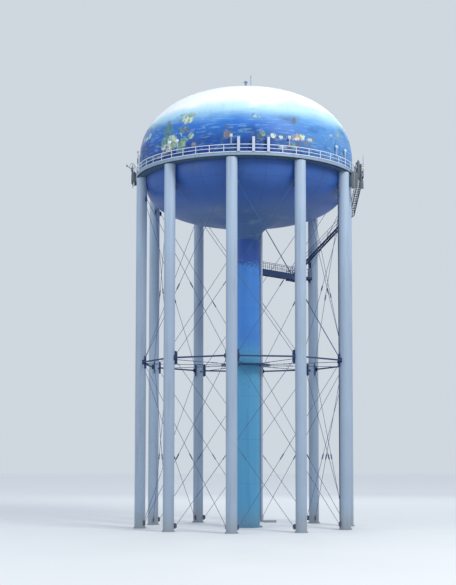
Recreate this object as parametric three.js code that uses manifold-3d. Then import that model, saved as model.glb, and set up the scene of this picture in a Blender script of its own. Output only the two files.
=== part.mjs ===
// Water tower on ten columns, as a 1:10 scale model.
// Millimetres, +Z up, origin on the ground at the tower's axis. Column 1 stands on -Y,
// and the numbers rise anticlockwise as seen from above.

import * as THREE from 'three';
import { mergeVertices } from 'three/addons/utils/BufferGeometryUtils.js';
import Module from 'manifold-3d';

const wasm = await Module();
wasm.setup();

// Driving dimensions: sizes of the full-size tower, brought to the model's scale
const SCALE = 1 / 10;
const full = (millimetres) => millimetres * SCALE;

const COLUMN_COUNT = 10;
const COLUMN_CIRCLE = full(14600);
const COLUMN_RADIUS = full(730);
const BASE_PLATE_RADIUS = full(880);
const BASE_PLATE_THICKNESS = full(100);

const STRUT_HEIGHT = full(22480);
const STRUT_RADIUS = full(110);
const STRUT_END_HEIGHT = full(620);
const STRUT_END_WIDTH = full(240);
const STRUT_END_PLATE = full(60);

const ROD_RADIUS = full(32);
const ROD_PIN_DISTANCE = full(950);
const ROD_PIN_RISE = full(510);
const ROD_TOP_HEIGHT = full(44950);
const ROD_FOOT_HEIGHT = full(750);
const GUSSET_THICKNESS = full(60);
const GUSSET_REACH = full(360);
const GUSSET_HEIGHT = full(1760);
const LUG_HEIGHT = full(700);
const TIERED_PANELS = [5, 10];

const RISER_RADIUS = full(1935);
const RISER_TOP = full(39700);
const RISER_FOOT_RADIUS = full(2300);
const RISER_FOOT_THICKNESS = full(150);
const RISER_RING_RADIUS = full(3430);
const RISER_RING_HEIGHT = full(22300);
const RISER_RING_DEPTH = full(200);
const SPOKE_RADIUS = full(40);
const OVERFLOW_ANGLE = 97;
const OVERFLOW_RADIUS = full(180);
const OVERFLOW_CIRCLE = full(2170);
const OVERFLOW_TOP = full(41500);
const OVERFLOW_OUTLET = full(900);
const OVERFLOW_REACH = full(4200);
const OVERFLOW_BRACKETS = [full(4500), full(14500), full(27000), full(36500)];
const BRACKET_HEIGHT = full(160);
const SPOKE_ROOT = full(100);

const BALCONY_UNDERSIDE = full(47980);
const BALCONY_FLOOR = full(48520);
const BALCONY_RADIUS = full(15400);
const BALCONY_EDGE_DEPTH = full(420);
const BALCONY_EDGE_LIP = full(300);
const BALCONY_EDGE_LOW = BALCONY_FLOOR - BALCONY_EDGE_DEPTH;
const BALCONY_DECK_INNER = full(14400);
const RAIL_RADIUS = full(15290);
const RAIL_HEIGHT = full(1080);
const RAIL_POST_COUNT = 50;
const RAIL_BAR = full(60);
const LAMP_POSTS = [-0.5, 3.5, 7.75, 9, 16, 22, 28, 34, 40, 44.8, 45.5];
const LAMP_HEIGHT = full(1900);
const LAMP_HEAD = full(360);

const POST_PITCH = (2 * Math.PI) / RAIL_POST_COUNT;
const GATE_POST = 13;

const PANEL_POSTS = [0, 1, 2];
const PANEL_WIDTH = full(380);
const PANEL_HEIGHT = full(1950);
const PANEL_DEPTH = full(160);
const PANEL_FOOT = full(60);
const SIDE_ANTENNA_ANGLES = { left: -83, right: 84 };
const SIDE_PANEL_WIDTH = full(300);
const SIDE_PANEL_HEIGHT = full(2000);
const SIDE_PANEL_DEPTH = full(150);
const SIDE_PANEL_SPREAD = full(160);
const SIDE_PANEL_TURN = Math.PI / 5;
const RADIO_BOX = { width: full(600), depth: full(260), height: full(1600), middle: full(48650) };
const POLE_RADIUS = full(60);
const POLE_OFFSET = full(450);
const POLE_LOW = BALCONY_UNDERSIDE - full(700);
const POLE_HIGH = BALCONY_UNDERSIDE + full(2400);
const POLE_ARM = full(100);
const CLAMP_WIDTH = full(400);
const CLAMP_HEIGHT = full(80);
const CLAMP_DEPTH = full(120);
const CLAMP_INSET = full(700);
const DISH = { radius: full(200), depth: full(160), reach: full(900), arm: full(45) };
const DISH_HEIGHT = POLE_HIGH + full(50);
const DISH_ARM_HEIGHT = POLE_HIGH - full(500);
const WHIP = { radius: full(35), reach: full(700), arm: full(60) };
const WHIP_LOW = POLE_HIGH - full(1000);
const WHIP_HIGH = POLE_HIGH + full(600);

const CABLE_COLUMN = 3;
const CABLE_SIDE = -153;
const CABLE_TRAY_WIDTH = full(220);
const CABLE_TRAY_DEPTH = full(100);
const CABLE_TRAY_TOP = full(46000);

const BOWL_RIM_RADIUS = full(14045);
const BOWL_DEPTH = full(5800);
const BOWL_EXPONENT = 2.45;
const BOWL_OUTLET_RADIUS = full(6200);
const BOWL_COURSE_RADIUS = full(11500);
const TANK_RADIUS = full(14900);
const TANK_WALL_TOP = full(50600);
const TANK_SHELL = full(200);
const ROOF_RISE = full(10000);
const ROOF_EXPONENT = 2.23;
const ROOF_SHELL = full(150);
const EAVE_TOP = TANK_WALL_TOP + full(3500);
const ROOF_CROWN_RADIUS = full(1100);
const VENT_NECK = { radius: full(350), height: full(450) };
const VENT_CAP = { radius: full(550), top: full(380), shoulder: full(680), height: full(760) };
const VENT_STACK = { radius: full(160), height: full(1700), cap: full(270), top: full(1950) };
const MAST_FOOT = { radius: full(110), height: full(60) };
const MAST_RADIUS = full(45);
const MAST_HEIGHT = full(2720);
const MAST_OFFSET = full(720);

const WALKWAY_COLUMN = 5;
const WALKWAY_FLOOR = full(36050);
const WALKWAY_WIDTH = full(900);
const WALKWAY_DEPTH = full(730);
const FLOOR_PLATE = full(90);
const GIRDER_WEB = full(60);
const WALKWAY_RAIL_HEIGHT = full(1140);
const WALKWAY_POST_SPACING = full(1400);
const TOE_BAR_HEIGHT = full(120);

const LANDING_INNER = COLUMN_CIRCLE - full(2550);
const LANDING_OUTER = COLUMN_CIRCLE - COLUMN_RADIUS - full(10);
const LANDING_END = full(3150);
const LANDING_BEAM = full(350);
const LANDING_COLUMN = 4;
const LANDING_HALF = full(400);
const LANDING_ARM_RADIUS = full(160);
const TOP_LANDING_LENGTH = full(1250);
const TOP_LANDING_RADIUS = full(16450);
const BALCONY_LAP = full(60);
const BRACKET_THICKNESS = full(120);
const KNEE_REACH = full(600);
const KNEE_DROP = full(750);
const STAIR_WIDTH = full(700);
const LOWER_STEPS = 41;
const UPPER_STEPS = 21;
const STAIR_RISER = (BALCONY_FLOOR - WALKWAY_FLOOR) / (LOWER_STEPS + UPPER_STEPS);
const STAIR_GOING = full(250);
const STRINGER_DEPTH = full(300);
const STRINGER_THICKNESS = full(50);
const STRINGER_FOOT = full(180);
const TREAD_PLATE = full(60);
const STAIR_RAIL_HEIGHT = full(1000);
const STAIR_RAIL_RADIUS = full(30);
const STAIR_POST_RADIUS = full(25);
const STAIR_POST_INSET = full(150);
const STEPS_PER_POST = 8;

// Radius and angle of the stair's start, its turn and the point it climbs toward
const STAIR_START = [full(13207), 156];
const STAIR_TURN = [full(16050), 115.3];
const STAIR_END = [full(16080), 95];

// Pieces that rest on a neighbour, or that are cut round one, stay this far from it
const SEAT = 0.3;

const COLUMN_SIDES = 20;
const TANK_SIDES = 50;
const RISER_SIDES = 40;
const OVERFLOW_SIDES = 16;
const ROD_SIDES = 4;
const STRUT_SIDES = 6;
const VENT_SIDES = 24;
const MAST_SIDES = 12;
const POLE_SIDES = 8;
const BAY = (2 * Math.PI) / COLUMN_COUNT;

const tower = new THREE.Group();

// Finishes
const finish = (color, roughness, metalness) =>
  new THREE.MeshStandardMaterial({ color, roughness, metalness });
const columnPaint = finish(0x9bb0cb, 0.45, 0.1);
const steelNavy = finish(0x14325f, 0.5, 0.2);
const riserBlue = finish(0x4079c0, 0.45, 0.1);
const bowlBlue = finish(0x2d5596, 0.45, 0.1);
const wallBlue = finish(0x3c80d2, 0.45, 0.1);
const roofWhite = finish(0xdbe4ec, 0.5, 0.1);
const balconyGrey = finish(0xbecddc, 0.45, 0.2);
const antennaWhite = finish(0xe8eaec, 0.4, 0.0);
const cableBlack = finish(0x20242c, 0.7, 0.0);

// Solids: union and cut of closed geometries
function solidOf(geometry) {
  const bare = geometry.clone();
  bare.deleteAttribute('normal');
  bare.deleteAttribute('uv');
  const merged = mergeVertices(bare, 1e-4);
  return new wasm.Manifold(new wasm.Mesh({
    numProp: 3,
    vertProperties: new Float32Array(merged.attributes.position.array),
    triVerts: new Uint32Array(merged.index.array),
  }));
}

function geometryOf(solid) {
  const mesh = solid.getMesh();
  const geometry = new THREE.BufferGeometry();
  geometry.setAttribute('position', new THREE.BufferAttribute(mesh.vertProperties, 3));
  geometry.setIndex(new THREE.BufferAttribute(mesh.triVerts, 1));
  return geometry;
}

function fuse(...geometries) {
  const solids = geometries.map(solidOf);
  return geometryOf(solids.reduce((sum, next) => sum.add(next)));
}

function cut(geometry, ...tools) {
  const solid = solidOf(geometry);
  return geometryOf(tools.reduce((rest, tool) => rest.subtract(solidOf(tool)), solid));
}

// Shapes
function box(x0, x1, y0, y1, z0, z1) {
  const shape = new THREE.BoxGeometry(x1 - x0, y1 - y0, z1 - z0);
  return shape.translate((x0 + x1) / 2, (y0 + y1) / 2, (z0 + z1) / 2);
}

// A turned shape from a profile of [radius, height] points; the first corner lies on -Y
function turned(profile, sides) {
  const points = profile.map(([radius, height]) => new THREE.Vector2(radius, height));
  const shape = new THREE.LatheGeometry(points, sides);
  return shape.rotateX(Math.PI / 2);
}

function drum(radius, z0, z1, sides) {
  return turned([[0, z0], [radius, z0], [radius, z1], [0, z1]], sides);
}

function bar(from, to, radius, sides) {
  const start = new THREE.Vector3(...from);
  const run = new THREE.Vector3(...to).sub(start);
  const shape = new THREE.CylinderGeometry(radius, radius, run.length(), sides);
  const turn = new THREE.Quaternion().setFromUnitVectors(
    new THREE.Vector3(0, 1, 0), run.clone().normalize());
  const middle = start.addScaledVector(run, 0.5);
  return shape.applyQuaternion(turn).translate(middle.x, middle.y, middle.z);
}

// A prism whose outline is given in the XZ plane, from y0 to y1
function plate(outline, y0, y1) {
  const shape = new THREE.Shape(outline.map(([x, z]) => new THREE.Vector2(x, z)));
  const prism = new THREE.ExtrudeGeometry(shape, { depth: y1 - y0, bevelEnabled: false });
  return prism.rotateX(Math.PI / 2).translate(0, y1, 0);
}

// Adds a mesh whose geometry was drawn with -Y as the outward direction
function add(name, geometry, material, angle = 0) {
  const mesh = new THREE.Mesh(geometry, material);
  mesh.name = name;
  mesh.rotation.z = angle;
  tower.add(mesh);
}

// Columns
function columnShape() {
  const top = BALCONY_UNDERSIDE - SEAT;
  const shaft = turned([
    [0, 0],
    [BASE_PLATE_RADIUS, 0],
    [BASE_PLATE_RADIUS, BASE_PLATE_THICKNESS],
    [COLUMN_RADIUS, BASE_PLATE_THICKNESS],
    [COLUMN_RADIUS, top],
    [0, top],
  ], COLUMN_SIDES);
  return shaft.translate(0, -COLUMN_CIRCLE, 0);
}

// Room for the columns in the pieces that meet them, drawn round column 1 and turned
function columnClearance(angle) {
  const clear = drum(COLUMN_RADIUS + SEAT, -1, BALCONY_UNDERSIDE + SEAT, COLUMN_SIDES);
  return clear.translate(0, -COLUMN_CIRCLE, 0).rotateZ(angle);
}

// Horizontal strut between neighbouring columns, drawn round its middle
function strutShape() {
  const y = -COLUMN_CIRCLE * Math.cos(BAY / 2);
  const half = COLUMN_CIRCLE * Math.sin(BAY / 2) - COLUMN_RADIUS - SEAT;
  const tube = bar([-half, y, STRUT_HEIGHT], [half, y, STRUT_HEIGHT], STRUT_RADIUS, STRUT_SIDES);
  const ends = [-1, 1].map((side) => {
    const x0 = side < 0 ? -half : half - STRUT_END_PLATE;
    return box(x0, x0 + STRUT_END_PLATE, y - STRUT_END_WIDTH / 2, y + STRUT_END_WIDTH / 2,
      STRUT_HEIGHT - STRUT_END_HEIGHT / 2, STRUT_HEIGHT + STRUT_END_HEIGHT / 2);
  });
  return fuse(tube, ...ends);
}

// Cross-braced panel between a column and the second next one: two tiers of crossed rods.
// Rods that rise to the right pass outside the gusset plates, the others inside them.
function tier(planeY, lowZ, highZ) {
  const reach = COLUMN_CIRCLE * Math.sin(BAY) - ROD_PIN_DISTANCE;
  const offset = GUSSET_THICKNESS / 2 + ROD_RADIUS * 0.8;
  const pieces = [];
  for (const side of [-1, 1]) {
    const y = planeY + side * offset;
    const low = new THREE.Vector3(side * reach, y, lowZ);
    const high = new THREE.Vector3(-side * reach, y, highZ);
    pieces.push(bar(low.toArray(), high.toArray(), ROD_RADIUS, ROD_SIDES));
  }
  const middle = (lowZ + highZ) / 2;
  pieces.push(box(-ROD_RADIUS, ROD_RADIUS, planeY - offset, planeY + offset,
    middle - ROD_RADIUS, middle + ROD_RADIUS));
  return pieces;
}

function bracePanelShape() {
  const planeY = -COLUMN_CIRCLE * Math.cos(BAY);
  const face = COLUMN_CIRCLE * Math.sin(BAY) - COLUMN_RADIUS - SEAT;
  const half = GUSSET_THICKNESS / 2;
  const heights = [
    [ROD_FOOT_HEIGHT, LUG_HEIGHT],
    [STRUT_HEIGHT, GUSSET_HEIGHT],
    [ROD_TOP_HEIGHT, LUG_HEIGHT],
  ];
  const plates = heights.flatMap(([height, size]) => [-1, 1].map((side) => {
    const x0 = side < 0 ? -face : face - GUSSET_REACH;
    return box(x0, x0 + GUSSET_REACH, planeY - half, planeY + half,
      height - size / 2, height + size / 2);
  }));
  return fuse(
    ...plates,
    ...tier(planeY, ROD_FOOT_HEIGHT, STRUT_HEIGHT - ROD_PIN_RISE),
    ...tier(planeY, STRUT_HEIGHT + ROD_PIN_RISE, ROD_TOP_HEIGHT),
  );
}

// One tier of a panel, parted from the other at strut height
function panelBetween(panel, z0, z1) {
  const reach = COLUMN_CIRCLE;
  return cut(panel,
    box(-reach, reach, -reach, 0, -1, z0),
    box(-reach, reach, -reach, 0, z1, BALCONY_UNDERSIDE));
}

// Riser: the pipe, its flare under the tank and the stay ring at strut height
function riserShape() {
  return turned([
    [0, 0],
    [RISER_FOOT_RADIUS, 0],
    [RISER_FOOT_RADIUS, RISER_FOOT_THICKNESS],
    [RISER_RADIUS, RISER_FOOT_THICKNESS],
    [RISER_RADIUS, RISER_TOP],
    [0, RISER_TOP],
  ], RISER_SIDES);
}

function bowlHeight(radius, rimRadius, depth) {
  const share = Math.pow(radius / rimRadius, BOWL_EXPONENT);
  return BALCONY_UNDERSIDE - SEAT - depth * Math.pow(1 - share, 1 / BOWL_EXPONENT);
}

// Quarter ellipse from the riser's wall out to the bowl's outlet, moved in by an offset
function flareLine(offset) {
  const steps = 4;
  const bottom = RISER_TOP + SEAT;
  const top = bowlHeight(BOWL_OUTLET_RADIUS, BOWL_RIM_RADIUS, BOWL_DEPTH);
  const line = [];
  for (let i = 0; i <= steps; i++) {
    const turn = (i / steps) * (Math.PI / 2);
    const radius = BOWL_OUTLET_RADIUS - (BOWL_OUTLET_RADIUS - RISER_RADIUS) * Math.cos(turn);
    const height = bottom + (top - bottom) * Math.sin(turn);
    line.push([radius - offset * Math.cos(turn), height + offset * Math.sin(turn)]);
  }
  return line;
}

function flareShape() {
  const loop = [...flareLine(0), ...flareLine(TANK_SHELL).reverse()];
  return turned([...loop, loop[0]], TANK_SIDES);
}

// Overflow pipe beside the riser, drawn on -Y, with its outlet turned out above the ground
function overflowShape() {
  const standing = bar([0, -OVERFLOW_CIRCLE, OVERFLOW_OUTLET], [0, -OVERFLOW_CIRCLE, OVERFLOW_TOP],
    OVERFLOW_RADIUS, OVERFLOW_SIDES);
  const elbow = new THREE.SphereGeometry(OVERFLOW_RADIUS, OVERFLOW_SIDES, OVERFLOW_SIDES / 2);
  elbow.rotateX(Math.PI / 2).translate(0, -OVERFLOW_CIRCLE, OVERFLOW_OUTLET);
  const outlet = bar([0, -OVERFLOW_CIRCLE, OVERFLOW_OUTLET],
    [0, -OVERFLOW_REACH, OVERFLOW_OUTLET - OVERFLOW_RADIUS], OVERFLOW_RADIUS, OVERFLOW_SIDES);
  const brackets = OVERFLOW_BRACKETS.map((z) => box(-OVERFLOW_RADIUS, OVERFLOW_RADIUS,
    -OVERFLOW_CIRCLE, -RISER_RADIUS + SEAT, z - BRACKET_HEIGHT / 2, z + BRACKET_HEIGHT / 2));
  const riser = drum(RISER_RADIUS + SEAT, 0, OVERFLOW_TOP, RISER_SIDES);
  const line = flareLine(-2 * SEAT);
  const flare = turned([[0, line[0][1]], ...line, [0, line[line.length - 1][1]]], TANK_SIDES);
  const turn = THREE.MathUtils.degToRad(OVERFLOW_ANGLE);
  return cut(fuse(standing, elbow, outlet, ...brackets), riser.rotateZ(-turn),
    flare.rotateZ(-turn));
}

// Room for the overflow pipe in the collar that it passes through
function overflowClearance() {
  const radius = OVERFLOW_RADIUS + 2 * SEAT;
  const clear = bar([0, -OVERFLOW_CIRCLE, OVERFLOW_OUTLET], [0, -OVERFLOW_CIRCLE, OVERFLOW_TOP],
    radius, OVERFLOW_SIDES);
  return clear.rotateZ(THREE.MathUtils.degToRad(OVERFLOW_ANGLE));
}

function riserStayShape() {
  const z0 = RISER_RING_HEIGHT - RISER_RING_DEPTH / 2;
  const z1 = RISER_RING_HEIGHT + RISER_RING_DEPTH / 2;
  const collar = turned([
    [RISER_RADIUS + SEAT, z0],
    [RISER_RING_RADIUS, z0],
    [RISER_RING_RADIUS, z1],
    [RISER_RADIUS + SEAT, z1],
    [RISER_RADIUS + SEAT, z0],
  ], RISER_SIDES);
  const spokes = [];
  for (let k = 0; k < COLUMN_COUNT; k++) {
    const from = [0, -RISER_RING_RADIUS + SPOKE_ROOT, RISER_RING_HEIGHT];
    const to = [0, -COLUMN_CIRCLE + COLUMN_RADIUS + SEAT, RISER_RING_HEIGHT];
    spokes.push(bar(from, to, SPOKE_RADIUS, ROD_SIDES).rotateZ(k * BAY));
  }
  return cut(fuse(collar, ...spokes), overflowClearance());
}

// Tank: bowl, wall and roof, each a shell
function bowlShape() {
  const steps = 6;
  const outer = [];
  const inner = [];
  for (let i = 0; i <= steps; i++) {
    const turn = (i / steps) * (Math.PI / 2);
    const outerRadius = BOWL_OUTLET_RADIUS + SEAT
      + (BOWL_RIM_RADIUS - BOWL_OUTLET_RADIUS - SEAT) * Math.sin(turn);
    outer.push([outerRadius, bowlHeight(outerRadius, BOWL_RIM_RADIUS, BOWL_DEPTH)]);
    const innerRim = BOWL_RIM_RADIUS - TANK_SHELL;
    const innerRadius = BOWL_OUTLET_RADIUS + SEAT
      + (innerRim - BOWL_OUTLET_RADIUS - SEAT) * Math.sin(turn);
    inner.push([innerRadius, bowlHeight(innerRadius, innerRim, BOWL_DEPTH - TANK_SHELL)]);
  }
  const loop = [...outer, ...inner.reverse()];
  const shell = turned([...loop, loop[0]], TANK_SIDES);
  const columns = [];
  for (let k = 0; k < COLUMN_COUNT; k++) {
    columns.push(columnClearance(k * BAY));
  }
  return cut(shell, ...columns);
}

// The bowl is plated in two courses, parted by a seam on one circle
function bowlSideShape() {
  const seam = BOWL_COURSE_RADIUS + SEAT / 2;
  return cut(bowlShape(), drum(seam, RISER_TOP, BALCONY_FLOOR, TANK_SIDES));
}

function bowlFloorShape() {
  const seam = BOWL_COURSE_RADIUS - SEAT / 2;
  return cut(bowlShape(), turned([
    [seam, RISER_TOP],
    [TANK_RADIUS, RISER_TOP],
    [TANK_RADIUS, BALCONY_FLOOR],
    [seam, BALCONY_FLOOR],
    [seam, RISER_TOP],
  ], TANK_SIDES));
}

function tankWallShape() {
  const z0 = BALCONY_FLOOR + SEAT;
  return turned([
    [TANK_RADIUS - TANK_SHELL, z0],
    [TANK_RADIUS, z0],
    [TANK_RADIUS, TANK_WALL_TOP],
    [TANK_RADIUS - TANK_SHELL, TANK_WALL_TOP],
    [TANK_RADIUS - TANK_SHELL, z0],
  ], TANK_SIDES);
}

// Quarter of an oval a little fuller than an ellipse, with a flat crown for the vent
function roofLine(radius, rise) {
  const spring = TANK_WALL_TOP + SEAT;
  const power = 2 / ROOF_EXPONENT;
  const steps = 7;
  const line = [];
  for (let i = 0; i < steps; i++) {
    const turn = (i / steps) * (Math.PI / 2);
    const out = Math.pow(Math.cos(turn), power);
    const up = Math.pow(Math.sin(turn), power);
    line.push([radius * out, spring + rise * up]);
  }
  const crown = spring + rise;
  line.push([ROOF_CROWN_RADIUS, crown]);
  line.push([0, crown]);
  return line;
}

function roofShape() {
  const outer = roofLine(TANK_RADIUS, ROOF_RISE);
  const inner = roofLine(TANK_RADIUS - TANK_SHELL, ROOF_RISE - ROOF_SHELL);
  return turned([...inner.reverse(), ...outer], TANK_SIDES);
}

// The roof's lowest course, and the rest of it above a level seam
function roofEaveShape() {
  const above = drum(TANK_RADIUS + 1, EAVE_TOP, TANK_WALL_TOP + ROOF_RISE + 1, TANK_SIDES);
  return cut(roofShape(), above);
}

function roofDomeShape() {
  const below = drum(TANK_RADIUS + 1, TANK_WALL_TOP - 1, EAVE_TOP + SEAT, TANK_SIDES);
  return cut(roofShape(), below);
}

function roofVentShape() {
  const foot = TANK_WALL_TOP + ROOF_RISE + 2 * SEAT;
  return turned([
    [0, foot],
    [VENT_NECK.radius, foot],
    [VENT_NECK.radius, foot + VENT_NECK.height],
    [VENT_CAP.radius, foot + VENT_NECK.height],
    [VENT_CAP.top, foot + VENT_CAP.shoulder],
    [VENT_STACK.radius, foot + VENT_CAP.height],
    [VENT_STACK.radius, foot + VENT_STACK.height],
    [VENT_STACK.cap, foot + VENT_STACK.height],
    [VENT_STACK.cap, foot + VENT_STACK.top],
    [0, foot + VENT_STACK.top],
  ], VENT_SIDES);
}

function roofMastShape() {
  const foot = TANK_WALL_TOP + ROOF_RISE + 2 * SEAT;
  return turned([
    [0, foot],
    [MAST_FOOT.radius, foot],
    [MAST_FOOT.radius, foot + MAST_FOOT.height],
    [MAST_RADIUS, foot + MAST_FOOT.height],
    [MAST_RADIUS, foot + MAST_HEIGHT],
    [0, foot + MAST_HEIGHT],
  ], MAST_SIDES).translate(MAST_OFFSET, 0, 0);
}

// Balcony: a ring girder, the deck ring on it that stands out past it, and a railing
function levelRing(inner, outer, low, high) {
  return turned([
    [inner, low],
    [outer, low],
    [outer, high],
    [inner, high],
    [inner, low],
  ], TANK_SIDES);
}

function balconyGirderShape() {
  const inner = BOWL_RIM_RADIUS - TANK_SHELL;
  const outer = BALCONY_RADIUS - BALCONY_EDGE_LIP;
  return levelRing(inner, outer, BALCONY_UNDERSIDE, BALCONY_EDGE_LOW - SEAT / 2);
}

function balconyDeckShape() {
  return levelRing(BALCONY_DECK_INNER, BALCONY_RADIUS, BALCONY_EDGE_LOW + SEAT / 2, BALCONY_FLOOR);
}

function hoop(height) {
  const half = RAIL_BAR / 2;
  return turned([
    [RAIL_RADIUS - half, height - half],
    [RAIL_RADIUS + half, height - half],
    [RAIL_RADIUS + half, height + half],
    [RAIL_RADIUS - half, height + half],
    [RAIL_RADIUS - half, height - half],
  ], RAIL_POST_COUNT);
}

// Flood lamp on a stem, aimed at the tank
function lampShape(y) {
  const half = RAIL_BAR / 2;
  const top = BALCONY_FLOOR + LAMP_HEIGHT;
  const stem = box(-half, half, y - half, y + half, BALCONY_FLOOR + RAIL_HEIGHT - RAIL_BAR, top);
  const head = box(-LAMP_HEAD / 2, LAMP_HEAD / 2, -LAMP_HEAD / 3, LAMP_HEAD / 3,
    -LAMP_HEAD / 2, LAMP_HEAD / 2);
  head.rotateX(-Math.PI / 8).translate(0, y, top);
  return fuse(stem, head);
}

// The railing is open for one bay, where the stair arrives
function railingShape() {
  const half = RAIL_BAR / 2;
  const foot = BALCONY_FLOOR + SEAT;
  const top = BALCONY_FLOOR + RAIL_HEIGHT;
  const y = -RAIL_RADIUS * Math.cos(POST_PITCH / 2);
  const posts = [];
  for (let i = 0; i < RAIL_POST_COUNT; i++) {
    const post = box(-half, half, y - half, y + half, foot, top - half);
    posts.push(post.rotateZ((i + 0.5) * POST_PITCH));
  }
  const lamps = LAMP_POSTS.map((post) => lampShape(y).rotateZ((post + 0.5) * POST_PITCH));
  const rails = fuse(...posts, hoop(top - half), ...lamps);
  const bayHalf = RAIL_RADIUS * Math.sin(POST_PITCH / 2) - RAIL_BAR;
  const gate = box(-bayHalf, bayHalf, -RAIL_RADIUS - RAIL_BAR, -RAIL_RADIUS + 2 * RAIL_BAR,
    BALCONY_FLOOR + RAIL_BAR, top + 1);
  return cut(rails, gate.rotateZ(GATE_POST * POST_PITCH));
}

// Walkway from the riser to the landing, drawn with its column on -Y
function walkwayShape() {
  const half = WALKWAY_WIDTH / 2;
  const far = -LANDING_INNER + SEAT;
  const near = 0;
  const bottom = WALKWAY_FLOOR - WALKWAY_DEPTH;
  const floor = box(-half, half, far, near, WALKWAY_FLOOR - FLOOR_PLATE, WALKWAY_FLOOR);
  const left = box(-half, -half + GIRDER_WEB, far, near, bottom, WALKWAY_FLOOR);
  const right = box(half - GIRDER_WEB, half, far, near, bottom, WALKWAY_FLOOR);
  const riser = drum(RISER_RADIUS + SEAT, 0, BALCONY_UNDERSIDE, RISER_SIDES);
  return cut(fuse(floor, left, right), riser);
}

// Guard rail along Y: posts, top rail and toe bar
function guardRailShape(x, from, to, floorZ) {
  const half = RAIL_BAR / 2;
  const top = floorZ + WALKWAY_RAIL_HEIGHT;
  const toe = floorZ + TOE_BAR_HEIGHT;
  const spaces = Math.round((to - from) / WALKWAY_POST_SPACING);
  const parts = [
    box(x - half, x + half, from, to, top - RAIL_BAR, top),
    box(x - half, x + half, from, to, toe, toe + RAIL_BAR),
  ];
  for (let i = 0; i <= spaces; i++) {
    const y = from + half + ((to - from - RAIL_BAR) * i) / spaces;
    parts.push(box(x - half, x + half, y - half, y + half, floorZ + SEAT, top - half));
  }
  return fuse(...parts);
}

function walkwayRailShape(side) {
  const x = side * (WALKWAY_WIDTH / 2 - RAIL_BAR);
  return guardRailShape(x, -LANDING_INNER + SEAT, -RISER_RADIUS - RAIL_BAR, WALKWAY_FLOOR);
}

// Landing at the walkway's end, with a knee bracket to the column
function landingShape() {
  const half = WALKWAY_WIDTH / 2;
  const bottom = WALKWAY_FLOOR - FLOOR_PLATE;
  const beam = WALKWAY_FLOOR - LANDING_BEAM;
  const slab = box(-half, LANDING_END, -LANDING_OUTER, -LANDING_INNER, bottom, WALKWAY_FLOOR);
  const edges = [
    box(-half, LANDING_END, -LANDING_OUTER, -LANDING_OUTER + GIRDER_WEB, beam, WALKWAY_FLOOR),
    box(-half, LANDING_END, -LANDING_INNER - GIRDER_WEB, -LANDING_INNER, beam, WALKWAY_FLOOR),
  ];
  const reach = -COLUMN_CIRCLE + COLUMN_RADIUS;
  const thick = BRACKET_THICKNESS / 2;
  const knee = plate([[0, 0], [-KNEE_REACH, 0], [0, -KNEE_DROP]], -thick, thick);
  knee.rotateZ(-Math.PI / 2).translate(0, reach, bottom);
  return cut(fuse(slab, ...edges, knee), columnClearance(0));
}

// Stair flight: drawn with its foot at the origin and climbing along +X
function flightShape(steps) {
  const run = steps * STAIR_GOING;
  const rise = steps * STAIR_RISER;
  const half = STAIR_WIDTH / 2;
  const slope = rise / run;
  const below = STRINGER_DEPTH;
  const outline = [
    [0, 0],
    [(below - STRINGER_FOOT) / slope, 0],
    [run, rise - below],
    [run, rise],
    [0, STRINGER_FOOT],
  ];
  const tilt = (rise - STRINGER_FOOT) / run;
  const nosing = (x) => STRINGER_FOOT + x * tilt;
  const parts = [];
  for (const side of [-1, 1]) {
    const y0 = side < 0 ? -half : half - STRINGER_THICKNESS;
    parts.push(plate(outline, y0, y0 + STRINGER_THICKNESS));
    const y = side * (half - STRINGER_THICKNESS / 2);
    const posts = 2 + Math.round(steps / STEPS_PER_POST);
    for (let i = 0; i < posts; i++) {
      const x = STAIR_POST_INSET + ((run - 2 * STAIR_POST_INSET) * i) / (posts - 1);
      const foot = nosing(x) - STAIR_POST_INSET / 2;
      const top = nosing(x) + STAIR_RAIL_HEIGHT;
      parts.push(bar([x, y, foot], [x, y, top], STAIR_POST_RADIUS, ROD_SIDES));
    }
    const railEnds = [STRINGER_THICKNESS, run - STRINGER_THICKNESS].map((x) =>
      [x, y, nosing(x) + STAIR_RAIL_HEIGHT]);
    parts.push(bar(...railEnds, STAIR_RAIL_RADIUS, ROD_SIDES));
  }
  const teeth = [];
  for (let i = 1; i < steps; i++) {
    teeth.push([i * STAIR_GOING, i * STAIR_RISER], [(i + 1) * STAIR_GOING, i * STAIR_RISER]);
  }
  const soffit = STAIR_RISER - TREAD_PLATE;
  const toothed = [
    ...teeth,
    [run, rise - STAIR_RISER - TREAD_PLATE],
    [2 * STAIR_GOING, soffit],
    [STAIR_GOING, soffit],
  ];
  parts.push(plate(toothed, -half + STRINGER_THICKNESS / 2, half - STRINGER_THICKNESS / 2));
  return fuse(...parts);
}

const polar = ([radius, degrees]) => {
  const angle = THREE.MathUtils.degToRad(degrees);
  return new THREE.Vector3(radius * Math.sin(angle), -radius * Math.cos(angle), 0);
};

// The stair turns at a landing beside column 4, just outside the column circle
const WALKWAY_ANGLE = (WALKWAY_COLUMN - 1) * BAY;
const LANDING_COLUMN_ANGLE = (LANDING_COLUMN - 1) * BAY;
const corner = polar(STAIR_TURN).setZ(WALKWAY_FLOOR + LOWER_STEPS * STAIR_RISER);
const stairStart = polar(STAIR_START).setZ(corner.z);
const stairEnd = polar(STAIR_END).setZ(corner.z);
const lowerRun = corner.clone().sub(stairStart).normalize();
const upperRun = stairEnd.clone().sub(corner).normalize();
const lowerFoot = corner.clone()
  .addScaledVector(lowerRun, -LANDING_HALF - SEAT - LOWER_STEPS * STAIR_GOING)
  .setZ(WALKWAY_FLOOR + SEAT);
const upperFoot = corner.clone().addScaledVector(upperRun, LANDING_HALF * 0.6)
  .setZ(corner.z + SEAT);
const upperHead = upperFoot.clone().addScaledVector(upperRun, UPPER_STEPS * STAIR_GOING);

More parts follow.
